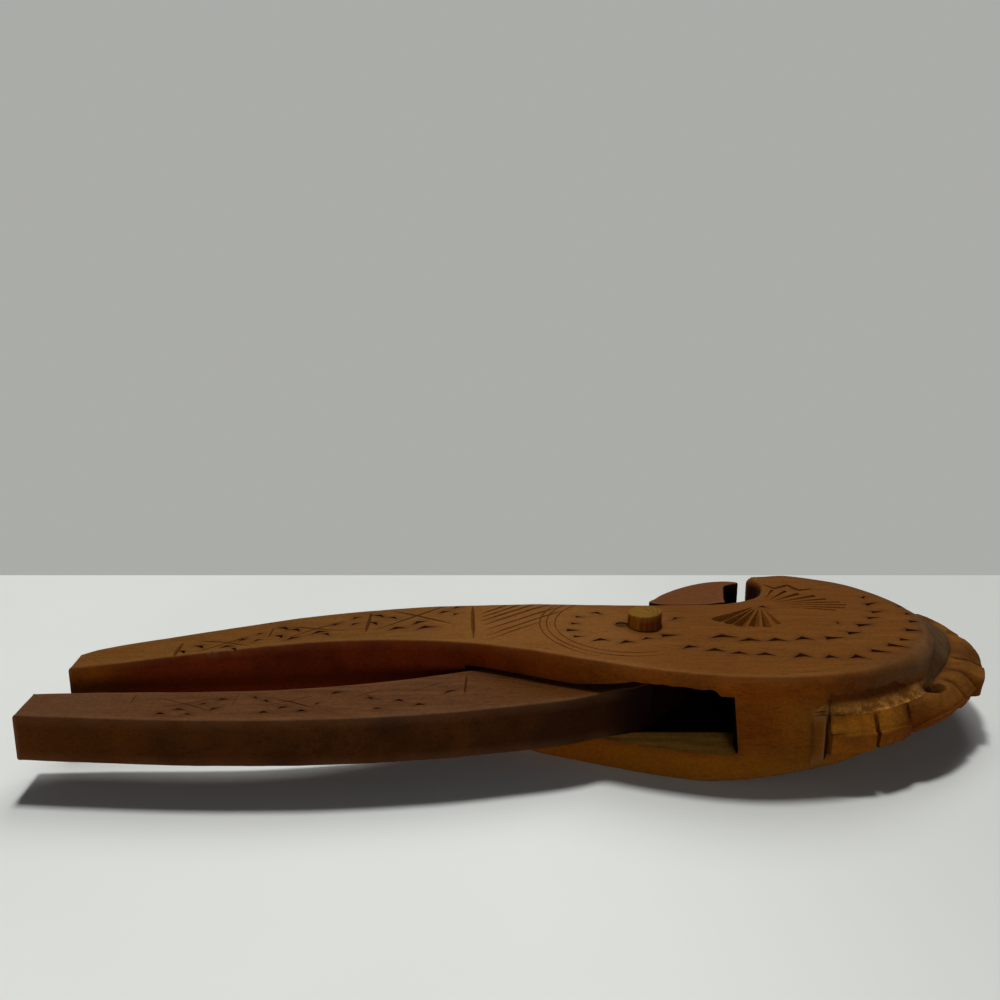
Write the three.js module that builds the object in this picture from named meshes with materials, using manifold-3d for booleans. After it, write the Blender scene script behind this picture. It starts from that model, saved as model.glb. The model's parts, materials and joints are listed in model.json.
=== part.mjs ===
// A hand carved folk nutcracker, lying on its side: one board shaped into a handle and a round
// hooked head, a lever that passes through a mortise in that head, and the peg that it turns on.
// Millimetres, +Z up. X runs from the handles to the head, Y from the lever's handle to the jaws.
// Every outline is drawn from the peg's axis; the last lines put the origin under the middle.

import * as THREE from 'three';
import { mergeVertices } from 'three/addons/utils/BufferGeometryUtils.js';
import Module from 'manifold-3d';

const wasm = await Module();
wasm.setup();

// Board of the body
const boardThickness = 30.5;
const handleReach = 158.6;
const handleEndThickness = 18;
const taperReach = 31;
const neckReach = 16.8;
const bodyRound = 1;

// Round head, and the hook that is its fixed jaw
const headRadius = 37;
const headAhead = 45.5;
const headAcross = 6.3;
const underBevelWidth = 22;
const underBevelRise = 10;

// Crest round the head
const crestCoveTop = 27;
const crestRootHeight = 20;
const crestRootFloor = 10;
const crestSink = 5;
const crestRimGap = 0.4;
const notchDepth = 2.2;
const grooveDepth = 1.6;
const hangHoleRadius = 3.7;
const hangHoleReach = 39.6;
const hangHoleAngle = -38;
const hangHoleTop = 22;

// Mortise through the head
const mortiseFloorGap = 0.5;
const mortiseRoofGap = 2.4;
const mortiseNearEnd = 19.7;
const mortiseFarEnd = 31.6;
const mortiseMouthReach = 54.5;
const sideClearance = 0.7;

// Lever
const leverReach = 163.8;
const leverSpread = 42.5;
const leverEndThickness = 12.9;
const leverThickness = 13.4;
const leverTaperReach = 20;
const leverMiddle = 15.5;
const leverRound = 1;
const tangFarReach = 15.1;
const tangFarAngle = 31.5;
const tangFarStart = 37.4;
const tangFarEnd = 11.4;
const tangNearReach = 11.6;
const tangNearAngle = 55;
const tangNearStart = 17.8;
const tangNearEnd = 27;
const noseReach = 52;
const noseThickness = 28;
const noseRound = 1.3;

// Turn of the lever from where it lies, in degrees: jaws shut, and the nose's shoulder on the neck
const shutAngle = -2.2;
const openAngle = 44;

// Peg
const pegRadius = 4.85;
const pegProud = 4.5;
const pegChamfer = 0.9;
const pegSeatGap = 0.3;
const pegRunGap = 0.4;
const pegInset = 0.4;

// One overrun serves every cut
const overrun = 6;

// Sides of a round hole or peg, and steps from point to point along a drawn outline
const holeSides = 32;
const hangHoleSides = 24;
const pegSides = 24;
const outlineSteps = 3;
const noseSteps = 2;

const DEGREE = Math.PI / 180;

const along = (angle) => new THREE.Vector2(Math.cos(angle * DEGREE), Math.sin(angle * DEGREE));
const scaled = (shares, lengthX, lengthY) => (
	shares.map(([x, y]) => new THREE.Vector2(x * lengthX, y * lengthY))
);
const lerp = THREE.MathUtils.lerp;
const smooth = (value, low, high) => THREE.MathUtils.smoothstep(value, low, high);

const headCentre = new THREE.Vector2(headAhead, headAcross);
const onHead = (shares) => scaled(shares, headRadius, headRadius).map((place) => place.add(headCentre));
const headPolar = (angle, reach) => along(angle).multiplyScalar(reach).add(headCentre);

// A smooth line through a few points
function curve(points, stepsPerSpan) {
	return new THREE.SplineCurve(points).getPoints((points.length - 1) * stepsPerSpan);
}

// Outline points that lie closer than the merge of shared corners can tell apart are left out
const leastSpacing = 0.08;
function thinned(points) {
	return points.filter((point, i) => point.distanceTo(points[(i + 1) % points.length]) > leastSpacing);
}

// Outward normal at each point of a counterclockwise outline
function normalsOf(outline) {
	const count = outline.length;
	return outline.map((point, i) => {
		const before = outline[(i + count - 1) % count];
		const after = outline[(i + 1) % count];
		const into = point.clone().sub(before).normalize();
		const out = after.clone().sub(point).normalize();
		return new THREE.Vector2(into.y + out.y, -into.x - out.x).normalize();
	});
}

// Where an edge is rounded by more than a thin lip or a tight corner can take, it is eased there
const lipShare = 0.4;
const easing = 0.75;
const easingPasses = 24;
function easedInsets(outline, normals, insets) {
	const count = outline.length;
	const eased = outline.map((point, i) => {
		const facing = outline.filter((_, j) => normals[i].dot(normals[j]) < 0);
		const across = Math.min(...facing.map((other) => point.distanceTo(other)));
		return Math.min(insets[i], across * lipShare);
	});
	for (let pass = 0; pass < easingPasses; pass += 1) {
		const places = outline.map((point, i) => point.clone().addScaledVector(normals[i], -eased[i]));
		for (let i = 0; i < count; i += 1) {
			const next = (i + 1) % count;
			const edge = outline[next].clone().sub(outline[i]);
			const moved = places[next].clone().sub(places[i]);
			if (moved.dot(edge) < edge.lengthSq() * (1 - easing)) {
				eased[i] *= easing;
				eased[next] *= easing;
			}
		}
	}
	return eased;
}

function meshOf(places, index) {
	const numbers = places.flatMap((place) => place.toArray());
	const geometry = new THREE.BufferGeometry();
	geometry.setAttribute('position', new THREE.Float32BufferAttribute(numbers, 3));
	geometry.setIndex(index);
	return geometry;
}

// A board cut to an outline. Each level gives a point's inset and height; the two ends are capped,
// in two flat pieces where the board starts to taper.
function boardGeometry(outline, levels, taperX) {
	const count = outline.length;
	const normals = normalsOf(outline);
	const rings = levels.map((level) => {
		const wanted = outline.map((point) => level(point));
		const insets = easedInsets(outline, normals, wanted.map(({ inset }) => inset));
		return outline.map((point, i) => {
			const place = point.clone().addScaledVector(normals[i], -insets[i]);
			return new THREE.Vector3(place.x, place.y, wanted[i].height);
		});
	});
	const index = [];
	for (let ring = 0; ring < rings.length - 1; ring += 1) {
		for (let i = 0; i < count; i += 1) {
			const next = (i + 1) % count;
			const a = ring * count + i;
			const b = ring * count + next;
			index.push(a, b, b + count, a, b + count, a + count);
		}
	}
	const pieces = [];
	const isHandle = outline.map((point) => point.x <= taperX);
	const ends = outline.flatMap((point, i) => (isHandle[i] !== isHandle[(i + 1) % count] ? [i] : []));
	if (ends.length === 2) {
		const walk = (from, to) => {
			const path = [];
			for (let i = from; i !== to; i = (i + 1) % count) path.push(i);
			path.push(to);
			return path;
		};
		const [first, second] = ends;
		const shared = isHandle[first] ? [first, (second + 1) % count] : [(first + 1) % count, second];
		pieces.push(walk(shared[0], shared[1]), walk(shared[1], shared[0]));
	} else {
		pieces.push(outline.map((_, i) => i));
	}
	const cap = (ring, flip) => {
		for (const piece of pieces) {
			const flat = piece.map((i) => new THREE.Vector2(rings[ring][i].x, rings[ring][i].y));
			for (const face of THREE.ShapeUtils.triangulateShape(flat, [])) {
				const [a, b, c] = face.map((corner) => ring * count + piece[corner]);
				index.push(...(flip ? [a, c, b] : [a, b, c]));
			}
		}
	};
	cap(0, true);
	cap(rings.length - 1, false);
	return meshOf(rings.flat(), index);
}

// A plain upright prism
function prismGeometry(outline, low, high) {
	const levels = [low, high].map((height) => () => ({ inset: 0, height }));
	return boardGeometry(outline, levels, -Infinity);
}

// Sections of equal count, each counterclockwise in its reach and height, skinned one after the
// next round the head and closed at both ends
function skinGeometry(sections) {
	const count = sections[0].length;
	const index = [];
	for (let s = 0; s < sections.length - 1; s += 1) {
		for (let i = 0; i < count; i += 1) {
			const a = s * count + i;
			const b = s * count + ((i + 1) % count);
			index.push(a, b + count, b, a, a + count, b + count);
		}
	}
	const last = (sections.length - 1) * count;
	for (let i = 1; i < count - 1; i += 1) {
		index.push(0, i, i + 1);
		index.push(last, last + i + 1, last + i);
	}
	return meshOf(sections.flat(), index);
}

function solidOf(geometry) {
	const bare = geometry.clone();
	bare.deleteAttribute('normal');
	bare.deleteAttribute('uv');
	const merged = mergeVertices(bare);
	return new wasm.Manifold(new wasm.Mesh({
		numProp: 3,
		vertProperties: new Float32Array(merged.attributes.position.array),
		triVerts: new Uint32Array(merged.index.array),
	}));
}

function geometryOf(solid) {
	const mesh = solid.getMesh();
	const geometry = new THREE.BufferGeometry();
	geometry.setAttribute('position', new THREE.Float32BufferAttribute(mesh.vertProperties, 3));
	geometry.setIndex(new THREE.Uint32BufferAttribute(mesh.triVerts, 1));
	return geometry;
}

// An upright round post or bore through the board
function postGeometry(radius, low, high, sides) {
	const geometry = new THREE.CylinderGeometry(radius, radius, high - low, sides);
	geometry.rotateX(Math.PI / 2);
	geometry.translate(0, 0, (low + high) / 2);
	return geometry;
}

// Outline of the body, counterclockwise from the near corner of the handle's end. The handle's
// shares are of its reach and of the neck's; the head's are of its radius, from its centre.
const handleNearShares = [
	[-0.9975, -0.96], [-0.917, -0.82], [-0.785, -0.58], [-0.649, -0.38], [-0.557, -0.31], [-0.456, -0.36],
	[-0.365, -0.51], [-0.294, -0.70], [-0.228, -0.96], [-0.158, -1.26],
];
const cheekShares = [
	[-1.554, -0.886], [-1.230, -1.005], [-0.905, -1.090], [-0.581, -1.130], [-0.257, -1.116],
	[0.040, -1.068], [0.284, -0.986], [0.500, -0.866],
];
const hookShares = [
	[0.005, 1.000], [-0.095, 0.992], [-0.176, 0.975], [-0.213, 0.938], [-0.211, 0.884], [-0.170, 0.811],
	[-0.150, 0.722], [-0.165, 0.608], [-0.203, 0.510], [-0.262, 0.435], [-0.338, 0.384], [-0.432, 0.338],
	[-0.554, 0.300], [-0.800, 0.283],
];
const handleFarShares = [
	[-0.015, 0.965], [-0.109, 1.00], [-0.220, 1.05], [-0.336, 1.12], [-0.412, 1.125], [-0.520, 1.05],
	[-0.637, 0.85], [-0.766, 0.49], [-0.898, 0.10], [-0.946, -0.06], [-0.977, -0.19], [-1, -0.38],
];
const rimStartAngle = -60;
const rimEndAngle = 89.7;
const rimSteps = 44;

function bodyOutline() {
	const near = [...scaled(handleNearShares, handleReach, neckReach), ...onHead(cheekShares)];
	const far = [...onHead(hookShares), ...scaled(handleFarShares, handleReach, neckReach)];
	const rim = [];
	for (let step = 1; step < rimSteps; step += 1) {
		rim.push(headPolar(lerp(rimStartAngle, rimEndAngle, step / rimSteps), headRadius));
	}
	return thinned([...curve(near, outlineSteps), ...rim, ...curve(far, outlineSteps)]);
}

// How far the handle has thinned at a place along it: 0 on the head, 1 at the handle's end
const taperAt = (x) => Math.max(0, (-x - taperReach) / (handleReach - taperReach));

// The underside's bevel fades in round the head and out again behind it, by angles round its centre
const bevelAngles = { start: -130, full: -45, fading: 50, end: 95 };
const bevelReachShare = 0.9;
function bevelAt(point) {
	const fromCentre = point.clone().sub(headCentre);
	if (fromCentre.length() < headRadius * bevelReachShare) return 0;
	const angle = Math.atan2(fromCentre.y, fromCentre.x) / DEGREE;
	const { start, full, fading, end } = bevelAngles;
	const rising = THREE.MathUtils.clamp((angle - start) / (full - start), 0, 1);
	return rising * (1 - smooth(angle, fading, end));
}

// From a flat face out to the wall beside it: shares of the inset and of the drop, round or straight
const roundShares = [[1, 0], [0.3, 0.3], [0, 1]];
const bevelShares = [[1, 0], [0.5, 0.5], [0, 1]];

function bodyBlank() {
	const thinning = (boardThickness - handleEndThickness) / 2;
	const under = roundShares.map(([insetShare, riseShare], i) => (point) => {
		const bevel = bevelAt(point);
		const inset = lerp(bodyRound * insetShare, underBevelWidth * bevelShares[i][0], bevel);
		const rise = lerp(bodyRound * riseShare, underBevelRise * bevelShares[i][1], bevel);
		return { inset, height: thinning * taperAt(point.x) + rise };
	});
	const over = roundShares.map(([insetShare, dropShare]) => (point) => ({
		inset: bodyRound * insetShare,
		height: boardThickness - thinning * taperAt(point.x) - bodyRound * dropShare,
	})).reverse();
	return boardGeometry(bodyOutline(), [...under, ...over], -taperReach);
}

// Crest: a rim of leaf-like lobes that widens round the head, with a cove up to the head's ridge.
// At each bound between lobes: its angle round the head's centre, the cove's foot and the crest's
// edge as shares of the head's radius, the edge's height and the wall under it as shares of the
// board's thickness, and how deep its notch is cut.
const lobeBoundShares = [
	[-96, 1.03, 1.190, 0.482, 0.200, 0.3], [-76, 1.01, 1.190, 0.503, 0.165, 1],
	[-60, 1.01, 1.170, 0.510, 0.140, 0.5], [-29, 1.04, 1.280, 0.548, 0.160, 0.5],
	[-18, 1.085, 1.360, 0.566, 0.165, 0.5], [-6.5, 1.16, 1.435, 0.580, 0.165, 0.8],
	[16.5, 1.37, 1.565, 0.590, 0.165, 0], [35, 1.43, 1.590, 0.590, 0.165, 0.5],
	[49, 1.33, 1.460, 0.590, 0.165, 0.5], [59, 1.12, 1.220, 0.590, 0.165, 0.3],
];
// Along a lobe: how far through it, and how much of the notch beside it is left
const lobeStepShares = [[0, 1], [0.07, 0.25], [0.2, 0], [0.5, 0], [0.8, 0], [0.93, 0.25], [1, 1]];
// Up the cove: how far out to its foot, and how high
const coveShares = [[0, 1], [0.12, 0.55], [0.42, 0.2], [1, 0]];
// Where the crest's underside bends, where its top bends and by how much, and the groove there
const undersideBendShare = 0.8;
const topBendShare = 0.5;
const topBendDropShare = 0.4;
const bendGrooveShare = 0.6;

function crestSection(angle, footShare, edgeShare, heightShare, wallShare, notch) {
	const rim = headRadius - crestRimGap;
	const sunk = headRadius - crestSink;
	const foot = headRadius * footShare;
	const edge = headRadius * edgeShare - notchDepth * notch;
	const top = boardThickness * heightShare;
	const bottom = top - boardThickness * wallShare;
	const groove = grooveDepth * notch;
	const bendHeight = lerp(crestRootHeight, top, topBendDropShare) - groove * bendGrooveShare;
	const cove = coveShares.map(([out, up]) => (
		[lerp(rim, foot, out), lerp(crestRootHeight, crestCoveTop, up)]
	));
	const profile = [
		[sunk, crestRootFloor],
		[lerp(sunk, edge, undersideBendShare), lerp(crestRootFloor, bottom, undersideBendShare)],
		[edge, bottom],
		[edge, top - groove],
		[lerp(foot, edge, topBendShare), bendHeight],
		...cove.reverse(),
		[sunk, crestCoveTop],
	];
	return profile.map(([reach, height]) => {
		const place = headPolar(angle, reach);
		return new THREE.Vector3(place.x, place.y, height);
	});
}

function crestSections() {
	const sections = [];
	for (let lobe = 0; lobe < lobeBoundShares.length - 1; lobe += 1) {
		const start = lobeBoundShares[lobe];
		const end = lobeBoundShares[lobe + 1];
		for (const [share, left] of lobeStepShares.slice(lobe === 0 ? 0 : 1)) {
			const mixed = start.map((value, i) => lerp(value, end[i], share));
			const deepest = (share < topBendShare ? start : end).at(-1);
			sections.push(crestSection(...mixed.slice(0, -1), left * deepest));
		}
	}
	return sections;
}

// Mortise: what the lever's tang sweeps between its two limits, and the clear end beside it
function mortiseOutline() {
	const reach = tangFarReach + sideClearance;
	const farLine = (turn, distance) => {
		const angle = tangFarAngle + turn;
		return along(angle + 90).multiplyScalar(reach).addScaledVector(along(angle), distance);
	};
	const toHeight = (turn, y) => {
		const start = farLine(turn, 0);
		return farLine(turn, (y - start.y) / along(tangFarAngle + turn).y);
	};
	const bend = along(tangFarAngle + (shutAngle + openAngle) / 2 + 90)
		.multiplyScalar(reach / Math.cos((openAngle - shutAngle) / 2 * DEGREE));
	const outY = neckReach + overrun;
	const nearY = -headRadius - overrun;
	const lean = (mortiseFarEnd - mortiseNearEnd) / (neckReach + headRadius - headAcross);
	return [
		new THREE.Vector2(mortiseNearEnd, nearY),
		new THREE.Vector2(mortiseNearEnd, -headRadius + headAcross),
		new THREE.Vector2(mortiseFarEnd, neckReach),
		new THREE.Vector2(mortiseFarEnd + lean * overrun, outY),
		toHeight(openAngle, outY),
		bend,
		farLine(shutAngle, -mortiseMouthReach),
		new THREE.Vector2(farLine(shutAngle, -mortiseMouthReach).x, nearY),
	];
}

function bodySolid() {
	const crest = solidOf(skinGeometry(crestSections()));
	const mortiseFloor = leverMiddle - leverThickness / 2 - mortiseFloorGap;
	const mortiseRoof = leverMiddle + leverThickness / 2 + mortiseRoofGap;
	const mortise = solidOf(prismGeometry(mortiseOutline(), mortiseFloor, mortiseRoof));
	const pegHole = solidOf(postGeometry(pegRadius + pegSeatGap, -overrun, boardThickness + overrun, holeSides));
	const hangHole = postGeometry(hangHoleRadius, -overrun, hangHoleTop, hangHoleSides);
	const hangPlace = headPolar(hangHoleAngle, hangHoleReach);
	hangHole.translate(hangPlace.x, hangPlace.y, 0);
	return solidOf(bodyBlank()).add(crest).subtract(mortise).subtract(pegHole).subtract(solidOf(hangHole));
}

// Lever: shares of its reach and of how far it spreads from the peg's line
const leverNearShares = [
	[-1, -0.93], [-0.89, -0.965], [-0.736, -1], [-0.583, -1], [-0.460, -0.97], [-0.337, -0.908],
	[-0.233, -0.824], [-0.147, -0.742], [-0.092, -0.655], [-0.055, -0.600], [-0.027, -0.560],
];
const leverFarShares = [
	[-0.286, -0.262], [-0.362, -0.362], [-0.449, -0.460], [-0.540, -0.530], [-0.644, -0.580],
	[-0.767, -0.598], [-0.890, -0.602], [-1, -0.622],
];
// Nose: shares of the distance from the peg to the jaw's tip
const noseShares = [
	[0.520, 0.400], [0.526, 0.440], [0.540, 0.519], [0.560, 0.606], [0.596, 0.670], [0.638, 0.706],
	[0.667, 0.735], [0.652, 0.762], [0.596, 0.776], [0.519, 0.771], [0.442, 0.746], [0.373, 0.710],
	[0.302, 0.662], [0.228, 0.600], [0.156, 0.527], [0.108, 0.454], [0.080, 0.402],
];
// The arm ends inside the nose: these of the nose's points, drawn in a little
const armTipPoints = [3, 13];
const armTipShare = 0.985;
const tangSteps = 4;

function tangEdge(offsetReach, angle, from, to) {
	const base = along(angle + 90).multiplyScalar(offsetReach);
	const edge = [];
	for (let step = 0; step <= tangSteps; step += 1) {
		edge.push(base.clone().addScaledVector(along(angle), lerp(from, to, step / tangSteps)));
	}
	return edge;
}

function leverOutline() {
	const near = scaled(leverNearShares, leverReach, leverSpread);
	const nearTang = tangEdge(-tangNearReach, tangNearAngle, -tangNearStart, tangNearEnd);
	const farTang = tangEdge(tangFarReach, tangFarAngle, tangFarEnd, -tangFarStart);
	const far = scaled(leverFarShares, leverReach, leverSpread);
	const tip = scaled(noseShares.slice(...armTipPoints), noseReach * armTipShare, noseReach * armTipShare);
	const nearCurve = curve([...near, nearTang[0]], outlineSteps);
	return thinned([...nearCurve, ...nearTang.slice(1), ...tip, ...farTang, ...curve(far, outlineSteps)]);
}

const leverTaperAt = (x) => Math.max(0, (-x - leverTaperReach) / (leverReach - leverTaperReach));

function leverSolid() {
	const halfAt = (point) => lerp(leverThickness, leverEndThickness, leverTaperAt(point.x)) / 2;
	const side = (sign) => roundShares.map(([insetShare, dropShare]) => (point) => ({
		inset: leverRound * insetShare,
		height: leverMiddle + sign * (halfAt(point) - leverRound * dropShare),
	}));
	const noseSide = (sign) => roundShares.map(([insetShare, dropShare]) => () => ({
		inset: noseRound * insetShare,
		height: leverMiddle + sign * (noseThickness / 2 - noseRound * dropShare),
	}));
	const arm = boardGeometry(leverOutline(), [...side(-1), ...side(1).reverse()], -leverTaperReach);
	const noseOutline = thinned(curve(scaled(noseShares, noseReach, noseReach), noseSteps));
	const nose = boardGeometry(noseOutline, [...noseSide(-1), ...noseSide(1).reverse()], -Infinity);
	const bore = solidOf(postGeometry(pegRadius + pegRunGap, -overrun, boardThickness + overrun, holeSides));
	return solidOf(arm).add(solidOf(nose)).subtract(bore);
}

function pegGeometry() {
	const top = boardThickness + pegProud;
	const profile = [
		[0, pegInset], [pegRadius - pegChamfer / 2, pegInset], [pegRadius, pegInset + pegChamfer / 2],
		[pegRadius, top - pegChamfer], [pegRadius - pegChamfer, top], [0, top],
	];
	const geometry = new THREE.LatheGeometry(profile.map(([r, z]) => new THREE.Vector2(r, z)), pegSides);
	geometry.rotateX(Math.PI / 2);
	return geometry;
}

const wood = (color, roughness) => new THREE.MeshStandardMaterial({ color, roughness, metalness: 0 });

const nutcracker = new THREE.Group();

function addPiece(name, geometry, material) {
	const mesh = new THREE.Mesh(geometry, material);
	mesh.name = name;
	nutcracker.add(mesh);
}

addPiece('body', geometryOf(bodySolid()), wood(0x825a32, 0.5));
addPiece('lever', geometryOf(leverSolid()), wood(0x694b3e, 0.5));
addPiece('pivot_pin', pegGeometry(), wood(0x9b7d41, 0.65));

// The origin goes under the middle of the whole, on the face that it lies on
const box = new THREE.Box3().setFromObject(nutcracker);
const middle = box.getCenter(new THREE.Vector3());
nutcracker.position.set(-middle.x, -middle.y, -box.min.z);

export default nutcracker;
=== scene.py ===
import json
import math

import bmesh
import bpy
import numpy as np
from bpy.props import FloatProperty, FloatVectorProperty, IntProperty, PointerProperty
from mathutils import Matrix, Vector, noise
from mathutils.geometry import delaunay_2d_cdt
from mathutils.kdtree import KDTree


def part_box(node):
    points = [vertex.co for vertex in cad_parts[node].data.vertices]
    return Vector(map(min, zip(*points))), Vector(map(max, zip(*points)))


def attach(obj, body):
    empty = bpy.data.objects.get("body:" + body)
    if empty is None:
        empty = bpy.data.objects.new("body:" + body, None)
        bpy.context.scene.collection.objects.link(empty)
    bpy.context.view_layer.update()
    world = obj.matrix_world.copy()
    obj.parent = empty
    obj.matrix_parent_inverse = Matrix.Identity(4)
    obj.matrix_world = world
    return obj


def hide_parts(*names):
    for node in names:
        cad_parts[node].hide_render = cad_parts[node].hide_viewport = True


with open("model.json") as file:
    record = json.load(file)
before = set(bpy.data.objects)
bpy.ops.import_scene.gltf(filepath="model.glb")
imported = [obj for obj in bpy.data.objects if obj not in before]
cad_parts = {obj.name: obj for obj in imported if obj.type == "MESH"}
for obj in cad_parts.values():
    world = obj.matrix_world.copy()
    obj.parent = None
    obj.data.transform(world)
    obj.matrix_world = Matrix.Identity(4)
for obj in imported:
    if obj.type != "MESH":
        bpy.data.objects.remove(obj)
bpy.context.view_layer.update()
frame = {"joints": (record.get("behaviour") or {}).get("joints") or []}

bl_info = {
    "name": "Carved lever nutcracker",
    "version": (1, 0, 0),
    "blender": (4, 5, 0),
    "location": "View3D > Sidebar > Nutcracker",
    "description": "Builds a hand carved wooden lever nutcracker: body, lever and peg",
    "category": "Add Mesh",
}

MM = 0.001

# Every outline is drawn from the peg's axis, X towards the head and Y towards the jaws
PEG_PLACE = np.array([*frame["joints"][0]["pos_m"][:2], 0.0])

# Outline of the body: shares of the handle's reach and of the neck's, and round the head of its
# radius, from its centre
HANDLE_NEAR = [
    (-0.9975, -0.96), (-0.917, -0.82), (-0.785, -0.58), (-0.649, -0.38), (-0.557, -0.31),
    (-0.456, -0.36), (-0.365, -0.51), (-0.294, -0.70), (-0.228, -0.96), (-0.158, -1.26),
]
CHEEK = [
    (-1.554, -0.886), (-1.230, -1.005), (-0.905, -1.090), (-0.581, -1.130), (-0.257, -1.116),
    (0.040, -1.068), (0.284, -0.986), (0.500, -0.866),
]
HOOK = [
    (0.005, 1.000), (-0.095, 0.992), (-0.176, 0.975), (-0.213, 0.938), (-0.211, 0.884),
    (-0.170, 0.811), (-0.150, 0.722), (-0.165, 0.608), (-0.203, 0.510), (-0.262, 0.435),
    (-0.338, 0.384), (-0.432, 0.338), (-0.554, 0.300), (-0.800, 0.283),
]
HANDLE_FAR = [
    (-0.015, 0.965), (-0.109, 1.00), (-0.220, 1.05), (-0.336, 1.12), (-0.412, 1.125),
    (-0.520, 1.05), (-0.637, 0.85), (-0.766, 0.49), (-0.898, 0.10), (-0.946, -0.06),
    (-0.977, -0.19), (-1, -0.38),
]
RIM_ANGLES = (-60.0, 89.7)

# Angles round the head where the underside's bevel, the rubbed ridge and the soft shoulder start,
# are full, fade and end
BEVEL_ANGLES = (-130.0, -45.0, 50.0, 95.0)
RUBBED_ANGLES = (-100, -74, 60, 86)
SHOULDER_ANGLES = (-62, -44, 30, 60)
# The hook's tip, from the head's centre in shares of its radius
HOOK_TIP = (-0.15, 0.93)

# Lobes of the crest, each from a start to an end: angle round the head, the cove's foot, the edge,
# as shares of the head's radius, the edge's height and the wall under it, of the board's thickness
LOBES = [
    [(-98.5, 1.118, 1.121, 0.640, 0.460), (-93, 1.106, 1.114, 0.630, 0.440)],
    [(-93, 1.144, 1.186, 0.498, 0.200), (-76.0, 1.105, 1.195, 0.508, 0.170)],
    [(-76.0, 1.105, 1.190, 0.506, 0.165), (-60, 1.075, 1.175, 0.508, 0.145)],
    [(-60, 1.075, 1.175, 0.508, 0.145), (-29, 1.04, 1.280, 0.552, 0.165)],
    [(-29, 1.04, 1.275, 0.546, 0.160), (-18, 1.085, 1.340, 0.548, 0.160)],
    [(-18, 1.085, 1.382, 0.586, 0.185), (-6.5, 1.16, 1.436, 0.586, 0.175)],
    [(-6.5, 1.16, 1.424, 0.578, 0.165), (16.5, 1.37, 1.565, 0.590, 0.165)],
    [(16.5, 1.37, 1.565, 0.590, 0.165), (35, 1.43, 1.590, 0.590, 0.165)],
    [(35, 1.43, 1.590, 0.590, 0.165), (49, 1.33, 1.460, 0.590, 0.165)],
    [(49, 1.33, 1.460, 0.590, 0.165), (59, 1.12, 1.220, 0.590, 0.165)],
]
# Cuts between the lobes: angle, depth into the edge, depth into the top, half width in degrees
LOBE_CUTS = [
    (-93, 1.0, 0.5, 0.8), (-76.0, 5.0, 1.6, 0.75), (-60, 0.7, 0.9, 4.5), (-29, 0.6, 1.0, 1.3),
    (-18, 0.9, 1.2, 0.9), (-6.5, 0.9, 1.4, 0.9), (16.5, 0.0, 1.3, 1.8), (35, 0.9, 0.9, 2.4),
    (49, 0.9, 0.9, 2.4),
]
# Each lobe's form: how far its wall leans in under the edge and how far its outer half slopes down,
# in millimetres, and how late its top starts to fall
LOBE_FORMS = [
    (0.0, 0.0, 1.0), (0.2, 0.0, 1.0), (0.5, 0.0, 1.0), (2.2, 0.9, 3.2), (1.2, 0.9, 2.6),
    (0.6, 0.2, 1.5), (1.0, 0.2, 1.5), (1.0, 0.4, 1.5), (1.0, 0.4, 1.5), (0.6, 0.2, 1.5),
]
COVE_ROWS = 12

# Outline of the lever: shares of its reach and spread; of its nose: shares of the nose's reach
LEVER_NEAR = [
    (-1, -0.93), (-0.89, -0.965), (-0.736, -1), (-0.583, -1), (-0.460, -0.97), (-0.337, -0.908),
    (-0.233, -0.824), (-0.147, -0.742), (-0.092, -0.655), (-0.055, -0.600), (-0.027, -0.560),
]
LEVER_FAR = [
    (-0.286, -0.262), (-0.362, -0.362), (-0.449, -0.460), (-0.540, -0.530), (-0.644, -0.580),
    (-0.767, -0.598), (-0.890, -0.602), (-1, -0.622),
]
NOSE = [
    (0.520, 0.400), (0.526, 0.440), (0.540, 0.519), (0.557, 0.606), (0.572, 0.676), (0.602, 0.706),
    (0.667, 0.735), (0.652, 0.762), (0.596, 0.776), (0.519, 0.771), (0.442, 0.746), (0.373, 0.710),
    (0.302, 0.662), (0.228, 0.600), (0.156, 0.527), (0.108, 0.454), (0.080, 0.402), (0.170, 0.362),
    (0.400, 0.366),
]

# Chip carving, in millimetres from the peg's axis. A bird is a flat three-cornered chip, a wedge is
# wide at one end: place, turn in degrees, length, width.
BODY_BIRDS = [
    (-13.5, -10.9, 8, 4.6, 2.0), (-6.5, -12.3, 14, 4.6, 2.2), (-0.6, -10.0, 14, 3.8, 1.8),
    (10.2, -15.8, 14, 5.4, 2.3), (16.6, -18.0, -4, 4.6, 1.9), (22.7, -19.9, -4, 5.2, 2.2),
    (29.5, -20.7, -6, 5.4, 2.4), (38.9, -21.8, 6, 4.6, 2.6), (46.3, -22.5, 8, 4.4, 2.6),
    (20.5, -8.5, 4, 6.0, 2.4), (27.4, -10.9, 2, 6.2, 2.4), (34.7, -10.9, 2, 5.0, 2.4),
    (42.4, -10.0, 4, 4.6, 2.4), (53.4, -22.4, 0, 4.6, 3.2),
    (-12.8, 9.2, -20, 3.2, 1.5), (9.7, 5.2, 30, 3.2, 1.3),
    (36.9, 14.4, -10, 2.6, 1.4), (55.3, 1.4, 100, 2.0, 0.8),
]
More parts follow.
